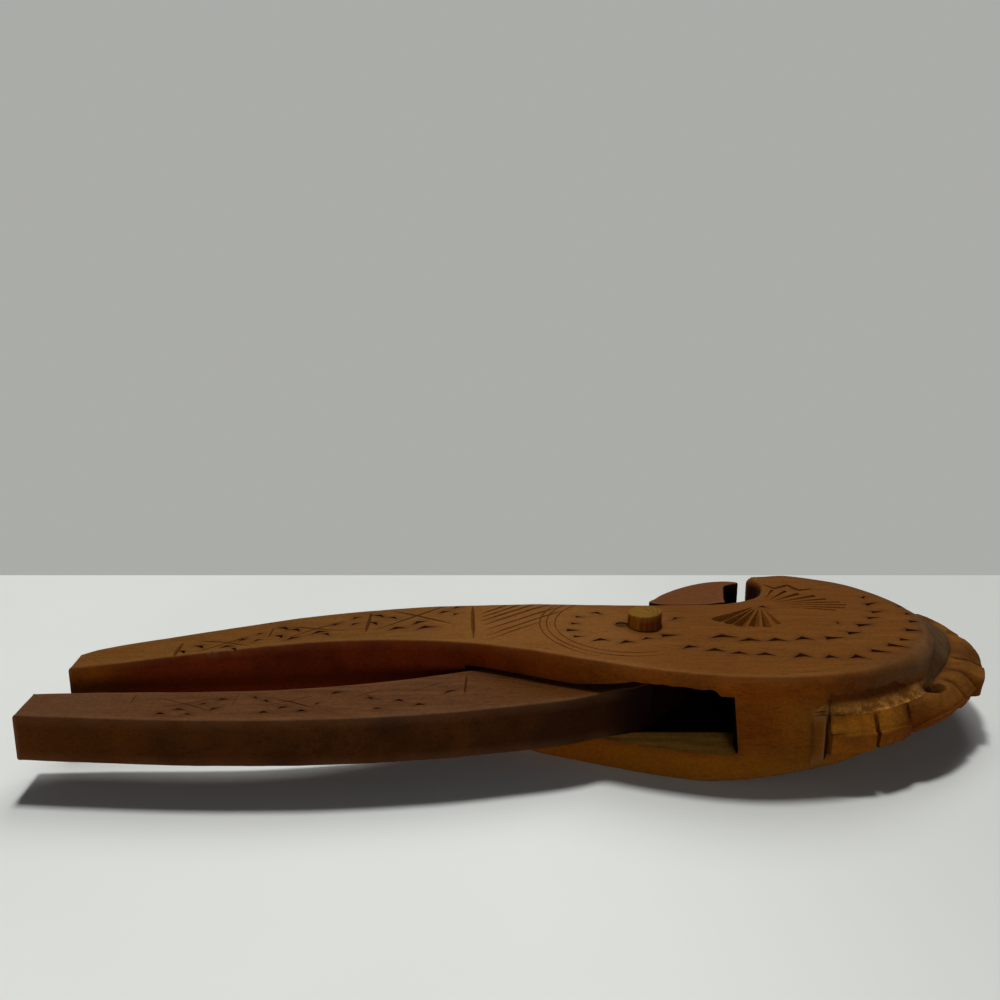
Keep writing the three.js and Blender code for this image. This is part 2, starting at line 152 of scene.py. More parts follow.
BODY_WEDGES = [
    (60.9, -19.0, -20, 4.8, 1.9), (66.8, -15.4, -24, 5.6, 2.2),
    (-17.8, 6.1, -14, 2.8, 1.5), (-19.5, 0.9, -10, 2.8, 1.5), (-20.4, -4.0, -6, 3.2, 1.6),
    (-19.1, -8.5, 0, 3.4, 1.7), (6.3, -7.5, 4, 5.2, 2.4), (51.4, -9.4, 2, 5.2, 2.4),
    (57.9, -5.7, 6, 4.6, 2.6), (62.6, 0.1, 8, 4.0, 1.9), (66.9, 5.6, 8, 3.8, 1.7),
    (69.5, 10.4, 10, 3.4, 1.7), (70.0, 17.3, 24, 4.2, 1.8), (69.5, 22.9, 48, 2.4, 1.4),
    (70.2, -10.9, -16, 2.6, 2.0), (74.9, -4.0, -14, 3.8, 2.2), (77.7, 2.7, -8, 2.8, 1.6),
    (78.4, 8.9, 0, 2.6, 1.6), (78.7, 15.1, -8, 2.8, 1.6),
]
HANDLE_BIRDS = [
    (-76.7, 13.0, -30, 4.0, 1.5), (-72.4, 10.9, -30, 3.6, 1.5), (-77.5, 7.1, -42, 3.6, 1.6),
    (-70.7, 2.4, 18, 4.6, 1.8), (-64.7, 6.1, 34, 5.0, 2.0), (-62.5, 2.1, 16, 5.0, 2.0),
    (-57.7, 13.4, 30, 3.6, 1.4), (-54.1, 11.3, 42, 2.8, 1.2), (-53.9, 16.9, 30, 2.6, 1.2),
    (-103.8, 6.6, -26, 3.8, 1.5), (-99.9, 4.8, -30, 3.6, 1.5), (-103.8, 0.5, -42, 3.2, 1.5),
    (-99.9, -1.6, 30, 3.8, 1.6), (-93.0, 2.1, 24, 5.2, 2.0), (-90.5, 0.5, -30, 2.8, 1.4),
    (-83.6, 12.0, 38, 2.8, 1.3), (-88.9, 7.3, 40, 2.6, 1.2), (-83.4, 7.0, 38, 3.0, 1.3),
    (-125.3, -4.6, -36, 3.8, 1.5), (-129.2, -7.9, -44, 3.2, 1.5), (-120.7, -9.4, 30, 4.0, 1.7),
    (-117.6, -5.5, 20, 4.0, 1.6), (-115.0, -7.4, -40, 2.8, 1.3), (-114.1, -1.0, 34, 2.6, 1.2),
    (-109.8, -1.9, 36, 2.8, 1.2), (-110.1, 3.1, 40, 2.6, 1.2),
]
LEVER_BIRDS = [
    (-126.7, -38.6, 10, 2.6, 1.2), (-122.7, -36.1, 6, 3.4, 1.2), (-119.7, -38.8, -8, 2.4, 1.1),
    (-113.7, -35.8, 34, 3.6, 1.2), (-112.8, -30.3, 20, 2.6, 1.1), (-117.2, -33.0, 20, 1.8, 0.9),
    (-104.7, -29.3, -36, 2.0, 0.9), (-101.5, -31.2, -30, 2.2, 1.0), (-96.4, -35.1, 24, 3.4, 1.3),
    (-100.8, -37.8, 12, 2.4, 1.3), (-91.3, -37.1, 6, 2.6, 1.3), (-84.0, -26.5, 26, 3.0, 1.2),
    (-74.7, -29.8, -20, 2.2, 1.1), (-72.2, -35.8, 4, 2.6, 1.1), (-67.0, -31.2, -12, 2.8, 1.3),
    (-61.6, -33.6, 14, 2.8, 1.3), (-54.1, -25.8, 34, 3.6, 0.9), (-88.0, -33.0, 50, 2.0, 0.7),
]
# Cut lines: places, then half width and how much of it is left at each end
BODY_LINES = [
    ([(-130.9, -13.0), (-130.9, -1.9)], 0.50, 0.3, 0.5),
    ([(-106.9, -0.5), (-106.9, 7.1)], 0.40, 0.3, 0.3),
    ([(-79.3, 0.6), (-79.3, 14.7)], 0.50, 0.3, 0.6),
    ([(-48.3, -8.1), (-48.8, 4.0), (-49.3, 19.0)], 0.52, 0.1, 0.3),
    ([(-125.5, -9.0), (-118.0, -2.8), (-111.0, 2.6)], 0.34, 0.2, 0.2),
    ([(-127.5, -0.4), (-118.0, -2.8), (-110.5, -6.2)], 0.34, 0.2, 0.2),
    ([(-101.5, -1.4), (-94.0, 4.7), (-86.0, 10.0)], 0.30, 0.2, 0.2),
    ([(-102.5, 7.4), (-94.0, 4.7), (-84.0, 2.2)], 0.30, 0.2, 0.2),
    ([(-76.5, 2.0), (-65.5, 11.4), (-57.0, 18.6)], 0.42, 0.2, 0.4),
    ([(-73.5, 16.6), (-65.5, 11.4), (-54.5, 3.6)], 0.42, 0.3, 0.2),
    ([(-46.6, 10.4), (-41.5, 14.7), (-38.5, 17.2)], 0.42, 0.2, 0.5),
    ([(-46.2, 7.8), (-37.6, 14.7), (-33.0, 18.2)], 0.42, 0.2, 0.5),
    ([(-46.6, 4.6), (-36.0, 12.6), (-29.0, 17.6)], 0.46, 0.2, 0.4),
    ([(-45.6, 1.8), (-34.0, 10.6), (-24.6, 17.2)], 0.46, 0.2, 0.3),
    ([(-45.0, -2.0), (-32.0, 7.6), (-23.0, 14.4)], 0.42, 0.2, 0.2),
    ([(-44.8, -6.4), (-32.0, 3.6), (-21.0, 12.4)], 0.38, 0.2, 0.1),
    ([(-45.0, -9.6), (-35.0, -2.0), (-27.0, 4.4)], 0.26, 0.2, 0.1),
    ([(41.6, 34.0), (44.1, 30.3), (48.9, 33.2), (51.0, 28.5), (55.5, 29.8)], 0.72, 0.4, 0.4),
    ([(82.0, 14.0), (82.0, 8.0), (81.0, -1.6), (78.4, -8.2), (74.0, -13.0)], 0.20, 0.1, 0.1),
]
# Fan of gouges at the mouth's corner: angle, reach from its corner, half width at the far end
FAN_CORNER = (36.4, 16.2)
FAN = [
    (219, 4.0, 20.5, 1.9), (230, 4.5, 20.0, 1.5), (240, 4.6, 20.0, 1.7), (252, 4.4, 18.6, 1.5),
    (264, 4.2, 18.4, 1.2), (277, 4.2, 16.0, 0.8), (-12, 6.0, 22.0, 0.6), (-6, 5.6, 25.0, 0.65),
    (0, 5.4, 26.0, 0.6), (6, 5.2, 25.0, 0.6), (13, 5.2, 22.0, 0.65), (22, 5.2, 20.0, 0.75),
    (34, 5.4, 17.0, 0.75), (48, 5.6, 16.0, 0.65), (62, 6.0, 14.5, 0.5),
]
# Scribed rings round the peg: radius, from and to which angle, and how all of them are cut: half
# width and how much of it is left at each end
RING_CENTRE = (-5.1, 0.5)
RINGS = [(20.3, 96, 318), (22.7, 104, 306), (24.6, 128, 262)]
RING_CUT = (0.21, 0.1, 0.1)
LEVER_LINES = [
    ([(-136.1, -33.4), (-136.1, -27.0)], 0.26, 0.2, 0.2),
    ([(-109.8, -35.0), (-109.2, -26.0)], 0.20, 0.2, 0.2),
    ([(-50.3, -28.0), (-50.0, -15.4)], 0.34, 0.1, 0.3),
    ([(-131.0, -29.0), (-122.0, -33.0), (-113.0, -38.0)], 0.26, 0.2, 0.2),
    ([(-131.0, -36.6), (-122.0, -33.0), (-111.0, -28.4)], 0.24, 0.2, 0.2),
    ([(-104.0, -28.4), (-96.0, -31.6), (-87.0, -36.4)], 0.28, 0.2, 0.2),
    ([(-103.0, -35.0), (-95.0, -31.2), (-87.0, -27.0)], 0.22, 0.2, 0.2),
    ([(-82.0, -32.0), (-77.0, -28.0), (-71.0, -23.6)], 0.20, 0.2, 0.2),
    ([(-80.0, -25.4), (-75.0, -28.6), (-69.0, -33.4)], 0.20, 0.2, 0.2),
    ([(-66.0, -27.0), (-60.0, -22.8), (-55.0, -19.4)], 0.20, 0.2, 0.2),
    ([(-45.7, -13.3), (-34.0, -17.4), (-22.6, -21.8)], 0.30, 0.1, 0.1),
    ([(-48.0, -14.8), (-36.0, -18.8), (-24.6, -23.4)], 0.28, 0.1, 0.1),
    ([(-44.0, -11.2), (-33.0, -14.6), (-21.6, -18.6)], 0.24, 0.1, 0.1),
    ([(-45.0, -17.6), (-34.0, -21.6), (-26.0, -25.0)], 0.20, 0.1, 0.1),
]

# Lamps: tilt from straight down, turn, spread in degrees, strength. Two shine down from behind,
# the last one comes in low from the front.
LAMPS = [(-17, 6, 9, 2.02), (-38, -14, 34, 1.05), (84, 8, 22, 1.06)]

# The tang that runs through the mortise: each side's distance from the peg's axis, the angle of
# its line and where it starts and ends along that line, in millimetres
TANG_NEAR = (-11.6, 55, -17.8, 27)
TANG_FAR = (15.1, 31.5, 11.4, -37.4)
# How far the lever turns from rest as it closes and opens, in degrees, and the far wall that this
# needs: its distance from the peg's axis and how far it runs towards the handle, in millimetres
SWING = (-2.2, 44.0)
SWEPT_FAR = (15.8, -54.5)
# Mortise, in millimetres: its ends at the near and the far wall, its floor, its roof and the lower
# roof at its left
MORTISE_ENDS = (19.7, 31.6)
MORTISE_FLOOR, MORTISE_ROOF, MORTISE_LOW_ROOF = 8.3, 24.6, 22.7
# Hanging hole, in millimetres and degrees: its place from the head's centre, its dished mouth and
# the thin bore that slants away under it
HANGING_HOLE = {"angle": -40.2, "distance": 40.1, "radius": 3.3, "top": 22.6, "thin": 1.0,
                "dish": (16.0, 20.4), "slant": 9, "oval": 0.24, "along": 42}
# A shallow older bore beside the peg and the gouged hollow in the hook: places and sizes
OLD_BORE = {"place": (-6.4, 0.2), "radius": 1.9, "floor": 30.05}
JAW_SCOOP = {"place": (36.6, 26.8, 17.5), "reaches": (4.0, 5.0, 8.5)}
# Unit outlines of the chips, one long and one wide, and their deepest points
BODY_BIRD = ([(-0.5, -0.36), (-0.18, -0.26), (0.08, -0.22), (0.5, -0.40), (0.2, 0.16),
              (0.02, 0.52), (-0.16, 0.2)], (0.0, 0.12))
BODY_WEDGE = ([(-0.5, 0.42), (-0.42, -0.02), (-0.5, -0.5), (-0.05, -0.26), (0.5, 0.0),
               (-0.05, 0.2)], (-0.3, -0.02))
LEVER_BIRD = ([(-0.5, -0.3), (-0.05, -0.22), (0.5, -0.4), (0.15, 0.25), (-0.1, 0.5)],
              (-0.05, 0.05))

# Tints of the finishes beside those that the settings hold. A pair is a dark and a light one that
# the wood is mottled with, but the peg's side pair is its painted shade and its painted light.
# Painted shade inside the chips and the hook's gouged hollow, whose walls are the same wood
CHIP_SHADE = (0.042, 0.0085, 0.0022)
SPECK_TINT, PORE_TINT = (0.62, 0.56, 0.50), (0.45, 0.36, 0.30)
# Paler ridges: wear, with a painted highlight along them
WORN_BODY_WITH_HIGHLIGHT, WORN_LEVER_WITH_HIGHLIGHT = (0.26, 0.120, 0.040), (0.20, 0.100, 0.050)
FADED_TOP, FADED_NECK = ((0.132, 0.0540, 0.0102), (0.168, 0.0690, 0.0132)), (0.205, 0.0800, 0.0150)
WALL_FOOT = (0.205, 0.075, 0.0035)
SHADED_WALL = ((0.045, 0.0120, 0.0014), (0.105, 0.0290, 0.0028))
# The handle's red near wall, lifted with painted light, and its foot lifted more where the lever
# shades it
RED_WALL_WITH_PAINTED_LIGHT, RED_WALL_FOOT_PAINTED_LIGHT = ((0.076, 0.0090, 0.0010), (0.150, 0.0200, 0.0020)), (0.28, 0.0370, 0.0032)
# The shoulder's grey: rubbed-off finish together with a painted sheen
SHOULDER_WEAR_AND_SHEEN = ((0.070, 0.0330, 0.0120), (0.108, 0.0590, 0.0270))
SHOULDER_START = (0.088, 0.0370, 0.0110)
# The near lobes' tops lifted with painted light
NEAR_LEAF_PAINTED_LIGHT = ((0.165, 0.0520, 0.0045), (0.345, 0.1250, 0.0105))
FAR_LEAF = ((0.085, 0.0290, 0.0045), (0.180, 0.0680, 0.0100))
# The lobes' sides in painted shade below their tops, and the far lobes' foot
LEAF_SIDE_PAINTED_SHADE, LEAF_FOOT = ((0.085, 0.0240, 0.0022), (0.190, 0.0560, 0.0050)), (0.122, 0.0290, 0.0024)
# The cove's foot: pale rasped wood with painted light, and where the cove starts
COVE_FOOT_PAINTED_LIGHT, COVE_START = ((0.230, 0.0860, 0.0150), (0.700, 0.3200, 0.0680)), (0.150, 0.0540, 0.0080)
# Painted shade inside the mortise and the bores, and the old bore's own tint
MORTISE_PAINTED_SHADE, OLD_BORE_TINT = (0.010, 0.0040, 0.0010), (0.070, 0.0340, 0.0062)
DISH_TINT = (0.135, 0.0560, 0.0120)
LEVER_END, NOSE_TOP = (0.106, 0.0460, 0.0185), (0.135, 0.0440, 0.0095)
# The tang's top, and painted shade on the tang's walls
TANG_TOP, TANG_WALL_PAINTED_SHADE = (0.088, 0.0290, 0.0042), (0.016, 0.0040, 0.0006)
# The peg's side: painted shade on its right, painted light on its left
PEG_SIDE_PAINTED_SHADE_AND_LIGHT = ((0.150, 0.0330, 0.0030), (0.460, 0.1500, 0.0090))
SKY_TINT = (0.96, 0.98, 1.0)

# What a face is part of, kept on the faces of every solid
UNCUT, CHIPPED, HOLLOWED, SCRIBED, LOBED, COVED, GOUGED = range(7)
# Edges sharper than these wear, gather dirt when they are inner corners, and stay crisp when shaded
RIDGE_ANGLE, CORNER_ANGLE, CRISP_ANGLE = (math.radians(angle) for angle in (17, 24, 34))


def length(name, description, millimetres):
    """A setting that is a length."""
    return FloatProperty(name=name, description=description, default=millimetres * MM,
                         unit="LENGTH")


def tint(name, description, default):
    """A setting that is a colour."""
    return FloatVectorProperty(name=name, description=description, size=3, subtype="COLOR",
                               default=default, min=0, max=1)


class NutcrackerBody(bpy.types.PropertyGroup):
    thickness: length("Thickness", "Board at the head", 30.5)
    reach: length("Handle reach", "From the peg to the handle's end", 158.6)
    end_thickness: length("Handle end", "Board at the handle's end", 18)
    taper_reach: length("Taper reach", "From the peg to where the handle starts to thin", 31)
    neck: length("Neck", "From the peg's line to the neck's far side", 16.8)
    head_radius: length("Head radius", "Round head, without the crest", 37)
    head_centre: FloatVectorProperty(name="Head centre", description="From the peg's axis", size=2,
                                     default=(45.5 * MM, 6.3 * MM), subtype="TRANSLATION")
    edge_round: length("Edge round", "Worn corner between a face and a wall", 1)
    head_round: length("Head round", "Rubbed ridge at the head's near side", 2.6)
    shoulder_round: length("Shoulder round", "Softer ridge where the crest is widest", 4.2)
    hook_round: length("Hook round", "Softer corner at the hook's tip", 2.4)
    bevel_width: length("Bevel width", "Underside bevel round the head", 22)
    bevel_rise: length("Bevel rise", "How far the bevel lifts the rim", 10)
    waviness: length("Waviness", "How far the knife's work departs from true", 0.16)
    spacing: length("Spacing", "Between points of the mesh", 1.25)


class NutcrackerCrest(bpy.types.PropertyGroup):
    cove_top: length("Cove top", "Height where the cove leaves the head", 29.0)
    root_height: length("Root height", "Height of the cove's foot", 20)
    root_floor: length("Root floor", "Lowest height of the crest's root", 10)
    sink: length("Sink", "How far the root runs into the head", 5)
    crown: length("Crown", "How far a lobe bulges between its two cuts", 0.7)
    corner: length("Corner", "Worn corner of a lobe's edge", 0.7)
    waviness: length("Waviness", "Rasped unevenness", 0.28)


class NutcrackerLever(bpy.types.PropertyGroup):
    reach: length("Reach", "From the peg to the lever's end", 163.8)
    spread: length("Spread", "How far the lever swings out from the peg's line", 42.5)
    thickness: length("Thickness", "Lever at the peg", 13.4)
    end_thickness: length("End thickness", "Lever at its end", 12.9)
    taper_reach: length("Taper reach", "From the peg to where it starts to thin", 20)
    middle: length("Middle", "Height of the lever's middle", 15.5)
    edge_round: length("Edge round", "Worn corner", 1)
    nose_reach: length("Nose reach", "From the peg to the jaw's tip", 52)
    nose_thickness: length("Nose thickness", "Thickness of the moving jaw", 28)
    nose_round: length("Nose round", "Corner of the nose", 0.9)
    waviness: length("Waviness", "How far the knife's work departs from true", 0.14)


class NutcrackerPeg(bpy.types.PropertyGroup):
    radius: length("Radius", "Wooden peg", 4.85)
    proud: length("Proud", "How far it stands above the body", 4.5)
    corner: length("Corner", "Worn corner of its top", 0.8)
    slant: length("Slant", "How far its top falls from its middle to one side", 0.3)
    seat_gap: length("Seat gap", "Between the peg and the body", 0.1)
    run_gap: length("Running gap", "Between the peg and the lever", 0.4)
    inset: length("Inset", "How far it stops short of the underside", 0.4)


class NutcrackerCarving(bpy.types.PropertyGroup):
    chip_depth: length("Chip depth", "Deepest point of a chip", 1.3)
    chip_size: FloatProperty(name="Chip size", description="Scales the drawn chips", default=1.12,
                             min=0.5, max=1.5)
    line_depth: FloatProperty(name="Line depth", default=0.8, min=0.1, max=2,
                              description="Depth of a cut line as a share of its half width")
    unevenness: FloatProperty(name="Unevenness", description="How much the cuts differ in size",
                              default=0.14, min=0, max=0.5, subtype="FACTOR")
    seed: IntProperty(name="Seed", description="Fixes how the cuts differ", default=7)


class NutcrackerWood(bpy.types.PropertyGroup):
    body: tint("Body", "Rubbed faces of the body", (0.145, 0.0490, 0.0045))
    body_wall: tint("Body walls", "Deeper red of its walls", (0.140, 0.0340, 0.0006))
    rasped: tint("Rasped wood", "Rougher, yellower wood round the crest", (0.270, 0.1050, 0.0110))
    # Made bright as painted light on the mortise floor's strip by its mouth
    bare_with_painted_light: tint("Bare wood", "Unfinished wood in the mortise", (0.850, 0.4200, 0.0780))
    lever: tint("Lever", "Darker wood of the lever", (0.0998, 0.0385, 0.0121))
    lever_wall: tint("Lever walls", "Its darker walls", (0.046, 0.0130, 0.0010))
    peg: tint("Peg", "Pale end grain of the peg", (0.155, 0.073, 0.0090))
    # A dark tint for the lever's stains and the peg's specks, for darker cut lines and corners, and
    # for painted shade in the gouges, on the jaw's end and in the slot
    dirt_and_shade: tint("Dirt", "What has settled in the cuts", (0.018, 0.0050, 0.0014))


class NutcrackerStage(bpy.types.PropertyGroup):
    floor: tint("Floor", "Plain pale floor", (0.74, 0.755, 0.72))
    floor_size: length("Floor size", "Side of the floor", 8000)
    floor_back: length("Floor behind", "From the peg to the floor's far edge", 130)
    backdrop: tint("Backdrop", "Plain grey behind the floor", (0.405, 0.412, 0.392))
    eye: FloatVectorProperty(name="Eye", description="Where the camera stands, from the peg's axis",
                             size=3, default=(-41.0 * MM, -291.85 * MM, 147 * MM),
                             subtype="TRANSLATION")
    pitch: FloatProperty(name="Pitch", description="How far the camera looks down",
                         default=math.radians(15.3), unit="ROTATION")
    lens: FloatProperty(name="Lens", description="Focal length on a sensor 36 wide", default=39.6)
    lamp_power: FloatProperty(name="Lamps", description="Scales the three lamps together",
                              default=1.0)
    sky: FloatProperty(name="Sky", description="Strength of the even light from all round",
                       default=0.035)


class NutcrackerSettings(bpy.types.PropertyGroup):
    body: PointerProperty(type=NutcrackerBody)
    crest: PointerProperty(type=NutcrackerCrest)
    lever: PointerProperty(type=NutcrackerLever)
    peg: PointerProperty(type=NutcrackerPeg)
    carving: PointerProperty(type=NutcrackerCarving)
    wood: PointerProperty(type=NutcrackerWood)
    stage: PointerProperty(type=NutcrackerStage)


def scaled(shares, x, y, about=(0.0, 0.0)):
    return np.array(shares, float) * (x, y) + about


def turned(angle, reach=1.0):
    """A place at an angle in degrees and a distance."""
    return np.array([math.cos(math.radians(angle)), math.sin(math.radians(angle))]) * reach


def lerp(low, high, share):
    return low + (high - low) * share


def smooth(value, low, high):
    share = np.clip((value - low) / (high - low), 0, 1)
    return share * share * (3 - 2 * share)


def within(value, start, full, fading, end):
    """0 up to the start and from the end on, 1 between full and fading."""
    return smooth(value, start, full) * (1 - smooth(value, fading, end))


def respaced(line, spacing):
    """The same line with its points about evenly spaced."""
    along = np.concatenate([[0], np.cumsum(np.hypot(*np.diff(line, axis=0).T))])
    wanted = np.linspace(0, along[-1], max(1, round(along[-1] / spacing)) + 1)
    return np.column_stack([np.interp(wanted, along, line[:, i]) for i in range(line.shape[1])])


def spline(points, spacing, fine=24):
    """A smooth line through a few points."""
    ends = np.vstack([points[:1], points, points[-1:]])
    a, b, c, d = (ends[i:len(ends) - 3 + i, None] for i in range(4))
    t = np.linspace(0, 1, fine, endpoint=False)[None, :, None]
    line = 0.5 * (2 * b + (c - a) * t + (2 * a - 5 * b + 4 * c - d) * t ** 2
                  + (3 * b - a - 3 * c + d) * t ** 3)
    return respaced(np.vstack([line.reshape(-1, 2), points[-1:]]), spacing)


def closed(*lines):
    """Lines joined end to end into one outline, without repeated points."""
    outline = np.vstack(lines)
    gap = np.hypot(*(outline - np.roll(outline, -1, axis=0)).T)
    return outline[gap > 0.1 * MM]


def normals_of(outline):
    """Outward direction at each point of a counterclockwise outline."""
    into = outline - np.roll(outline, 1, axis=0)
    out = np.roll(outline, -1, axis=0) - outline
    into /= np.hypot(*into.T)[:, None]
    out /= np.hypot(*out.T)[:, None]
    total = into + out
    return np.column_stack([total[:, 1], -total[:, 0]]) / np.hypot(*total.T)[:, None]


def gaps(places, others):
    """How far each place is from each of the others."""
    return np.hypot(*(places[:, None] - others[None]).transpose(2, 0, 1))


def tree_of(places):
    """A search tree of places, on the plan or in space."""
    tree = KDTree(len(places))
    for i, place in enumerate(places):
        tree.insert((*place, 0)[:3], i)
    tree.balance()
    return tree


def eased_insets(outline, normals, insets):
    """Insets drawn back where a thin lip or a tight corner can't take them."""
    facing = normals @ normals.T < 0
    across = np.where(facing, gaps(outline, outline), np.inf).min(axis=1)
    eased = np.minimum(insets, across * 0.4)
    after = np.arange(1, len(outline) + 1) % len(outline)
    edge = outline[after] - outline
    for _ in range(40):
        places = outline - normals * eased[:, None]
        moved = places[after] - places
        tight = (moved * edge).sum(axis=1) < (edge * edge).sum(axis=1) * 0.25
        if not tight.any():
            break
        eased[tight] *= 0.75
        eased[after[tight]] *= 0.75
    return eased


def board(outline, spacing, rounds, bottom, top, row_gap=2.2 * MM, steps=4):
    """A board cut to an outline, its faces given as heights over the plan and its corners worn
    round. Returns places and faces."""
    normals = normals_of(outline)
    low_round, high_round = (np.broadcast_to(r, len(outline)).astype(float) for r in rounds)

    def ring(sign, face, radius, turn):
        inset = eased_insets(outline, normals, radius * (1 - math.cos(turn)))
        flat = outline - normals * inset[:, None]
        height = face(flat) + sign * radius * (1 - math.sin(turn))
        return np.column_stack([flat, height])

    turns = np.linspace(math.pi / 2, 0, steps + 1)
    rings = [ring(1, bottom, low_round, turn) for turn in turns]
    upper = [ring(-1, top, high_round, turn) for turn in turns[::-1]]
    rows = max(1, round(float(np.median(upper[0][:, 2] - rings[-1][:, 2])) / row_gap))
    rings += [lerp(rings[-1], upper[0], row / rows) for row in range(1, rows)]
    rings += upper
    count = len(outline)
    places = [place for line in rings for place in line]
    faces = []
    for row in range(len(rings) - 1):
        for i in range(count):
            a, b = row * count + i, row * count + (i + 1) % count
            faces.append((a, b, b + count, a + count))
    for start, face, flip in ((0, bottom, True), ((len(rings) - 1) * count, top, False)):
        rim = np.array([places[start + i][:2] for i in range(count)])
        inner = hex_grid(rim, spacing)
        flat = [Vector(p) for p in np.vstack([rim, inner])]
        edges = [(i, (i + 1) % count) for i in range(count)]
        points, _, triangles, origins, _, _ = delaunay_2d_cdt(flat, edges, [], 1, 1e-9)
        heights = face(np.array([tuple(p) for p in points]))
        index = {}
        for i, point in enumerate(points):
            known = [o for o in origins[i] if o < count]
            if known:
                index[i] = start + known[0]
            else:
                index[i] = len(places)
                places.append(np.array([point.x, point.y, heights[i]]))
        for triangle in triangles:
            corners = [index[i] for i in triangle]
            if len(set(corners)) == 3:
                faces.append(tuple(reversed(corners)) if flip else tuple(corners))
    return np.array(places), faces


def hex_grid(rim, spacing):
    """Points inside an outline, clear of it by more than half of their spacing."""
    low, high = rim.min(axis=0), rim.max(axis=0)
    rows = np.arange(low[1], high[1], spacing * 0.866)
    columns = np.arange(low[0], high[0], spacing)
    points = np.array([(x + (r % 2) * spacing / 2, y) for r, y in enumerate(rows) for x in columns])
    after = np.roll(rim, -1, axis=0)
    inside = np.zeros(len(points), bool)
    for (x0, y0), (x1, y1) in zip(rim, after):
        if y0 != y1:
            crosses = (y0 > points[:, 1]) != (y1 > points[:, 1])
            inside ^= crosses & (points[:, 0] < (x1 - x0) * (points[:, 1] - y0) / (y1 - y0) + x0)
    points = points[inside]
    tree = tree_of(rim)
    return np.array([p for p in points if tree.find((*p, 0))[2] > spacing * 0.6])


def skin(sections):
    """Sections of equal count, each a closed loop, skinned in order and closed at the ends."""
    count = len(sections[0])
    places = np.vstack(sections)
    faces = [tuple(range(count)), tuple(reversed(range(len(places) - count, len(places))))]
    for s in range(len(sections) - 1):
        for i in range(count):
            a, b = s * count + i, s * count + (i + 1) % count
            faces.append((a, a + count, b + count, b))
    return places, faces


def mesh_of(name, places, edges=(), faces=()):
    mesh = bpy.data.meshes.new(name)
    mesh.from_pydata([tuple(place) for place in places], edges, faces)
    return mesh


def placed(name, data):
    """An object in the scene that holds a mesh, a light or a camera."""
    holder = bpy.data.objects.new(name, data)
    bpy.context.scene.collection.objects.link(holder)
    return holder


def keep(mesh, name, values, domain="POINT"):
    """Stores one value for each point or face."""
    mesh.attributes.new(name, "FLOAT", domain).data.foreach_set("value", values)


def vectors(items, name):
    """The places or the normals of a mesh, one to a row."""
    values = np.empty(len(items) * 3)
    items.foreach_get(name, values)
    return values.reshape(-1, 3)


def as_object(name, shape, cut=UNCUT):
    """A closed mesh object with its faces outwards; each face remembers what it is part of."""
    places, faces = shape
    return finish_mesh(mesh_of(name, places, (), faces), name, cut)


def finish_mesh(mesh, name, cut):
    """Cleans a mesh, checks that it is closed and makes an object of it."""
    codes = np.broadcast_to(cut, len(mesh.polygons)).astype(int)
    mesh.polygons.foreach_set("material_index", codes)
    bm = bmesh.new()
    bm.from_mesh(mesh)
    bmesh.ops.remove_doubles(bm, verts=bm.verts, dist=1e-7)
    bmesh.ops.dissolve_degenerate(bm, edges=bm.edges, dist=1e-7)
    bmesh.ops.triangulate(bm, faces=bm.faces)
    bmesh.ops.recalc_face_normals(bm, faces=bm.faces)
    loose = [edge for edge in bm.edges if len(edge.link_faces) != 2]
    if loose:
        raise RuntimeError(f"{name} isn't closed at {len(loose)} edges")
    bm.to_mesh(mesh)
    bm.free()
    keep(mesh, "cut", [polygon.material_index for polygon in mesh.polygons], "FACE")
    mesh.polygons.foreach_set("material_index", [0] * len(mesh.polygons))
    return placed(name, mesh)


def discard(piece):
    data = piece.data
    bpy.data.objects.remove(piece)
    bpy.data.meshes.remove(data)


def evaluated(piece):
    """What a piece's modifiers make of it, as a plain mesh."""
    graph = bpy.context.evaluated_depsgraph_get()
    graph.update()
    return bpy.data.meshes.new_from_object(piece.evaluated_get(graph))


def combine(piece, other, operation):
    """Joins a second solid to a piece, or cuts it out, and drops the second."""
    before = len(piece.data.polygons)
    modifier = piece.modifiers.new("Combine", "BOOLEAN")
    modifier.operation, modifier.object, modifier.solver = operation, other, "MANIFOLD"
    mesh = evaluated(piece)
    piece.modifiers.remove(modifier)
    if len(mesh.polygons) == before or not mesh.polygons:
        raise RuntimeError(f"{other.name} doesn't cut {piece.name}")
    old = piece.data
    piece.data = mesh
    bpy.data.meshes.remove(old)
    discard(other)


def waver(piece, depth, coarse=14 * MM, fine=4.5 * MM, seed=0.0, flat_below=None):
    """Moves the surface in a little, unevenly, as a knife and years of handling leave it. The
    underside stays flat where it lies below flat_below."""
    mesh = piece.data
    places, normals = vectors(mesh.vertices, "co"), vectors(mesh.vertex_normals, "vector")
    shift = Vector((seed, seed * 0.7, seed * 1.3))
    for i, place in enumerate(places):
        if flat_below is not None and place[2] < flat_below and normals[i, 2] < -0.6:
            continue
        where = Vector(place)
        wave = 0.65 * noise.noise(where / coarse + shift) + 0.35 * noise.noise(where / fine + shift)
        places[i] += normals[i] * depth * (wave - 0.6)
    mesh.vertices.foreach_set("co", places.reshape(-1))
    mesh.update()


def body_outline(size):
    radius, centre = size.head_radius, np.array(size.head_centre)
    handle_near, handle_far = (scaled(line, size.reach, size.neck)
                               for line in (HANDLE_NEAR, HANDLE_FAR))
    cheek, hook = (scaled(line, radius, radius, centre) for line in (CHEEK, HOOK))
    near, far = np.vstack([handle_near, cheek]), np.vstack([hook, handle_far])
    steps = round(math.radians(RIM_ANGLES[1] - RIM_ANGLES[0]) * radius / size.spacing)
    rim = np.array([centre + turned(lerp(*RIM_ANGLES, step / steps), radius)
                    for step in range(1, steps)])
    end = respaced(np.array([far[-1], near[0]]), size.spacing)[1:-1]
    return closed(spline(near, size.spacing), rim, spline(far, size.spacing), end)


def thinned(flat, size):
    """0 where a piece is at its thickest, 1 at its handle's end."""
    along = (-flat[:, 0] - size.taper_reach) / (size.reach - size.taper_reach)
    return np.clip(along, 0, None)


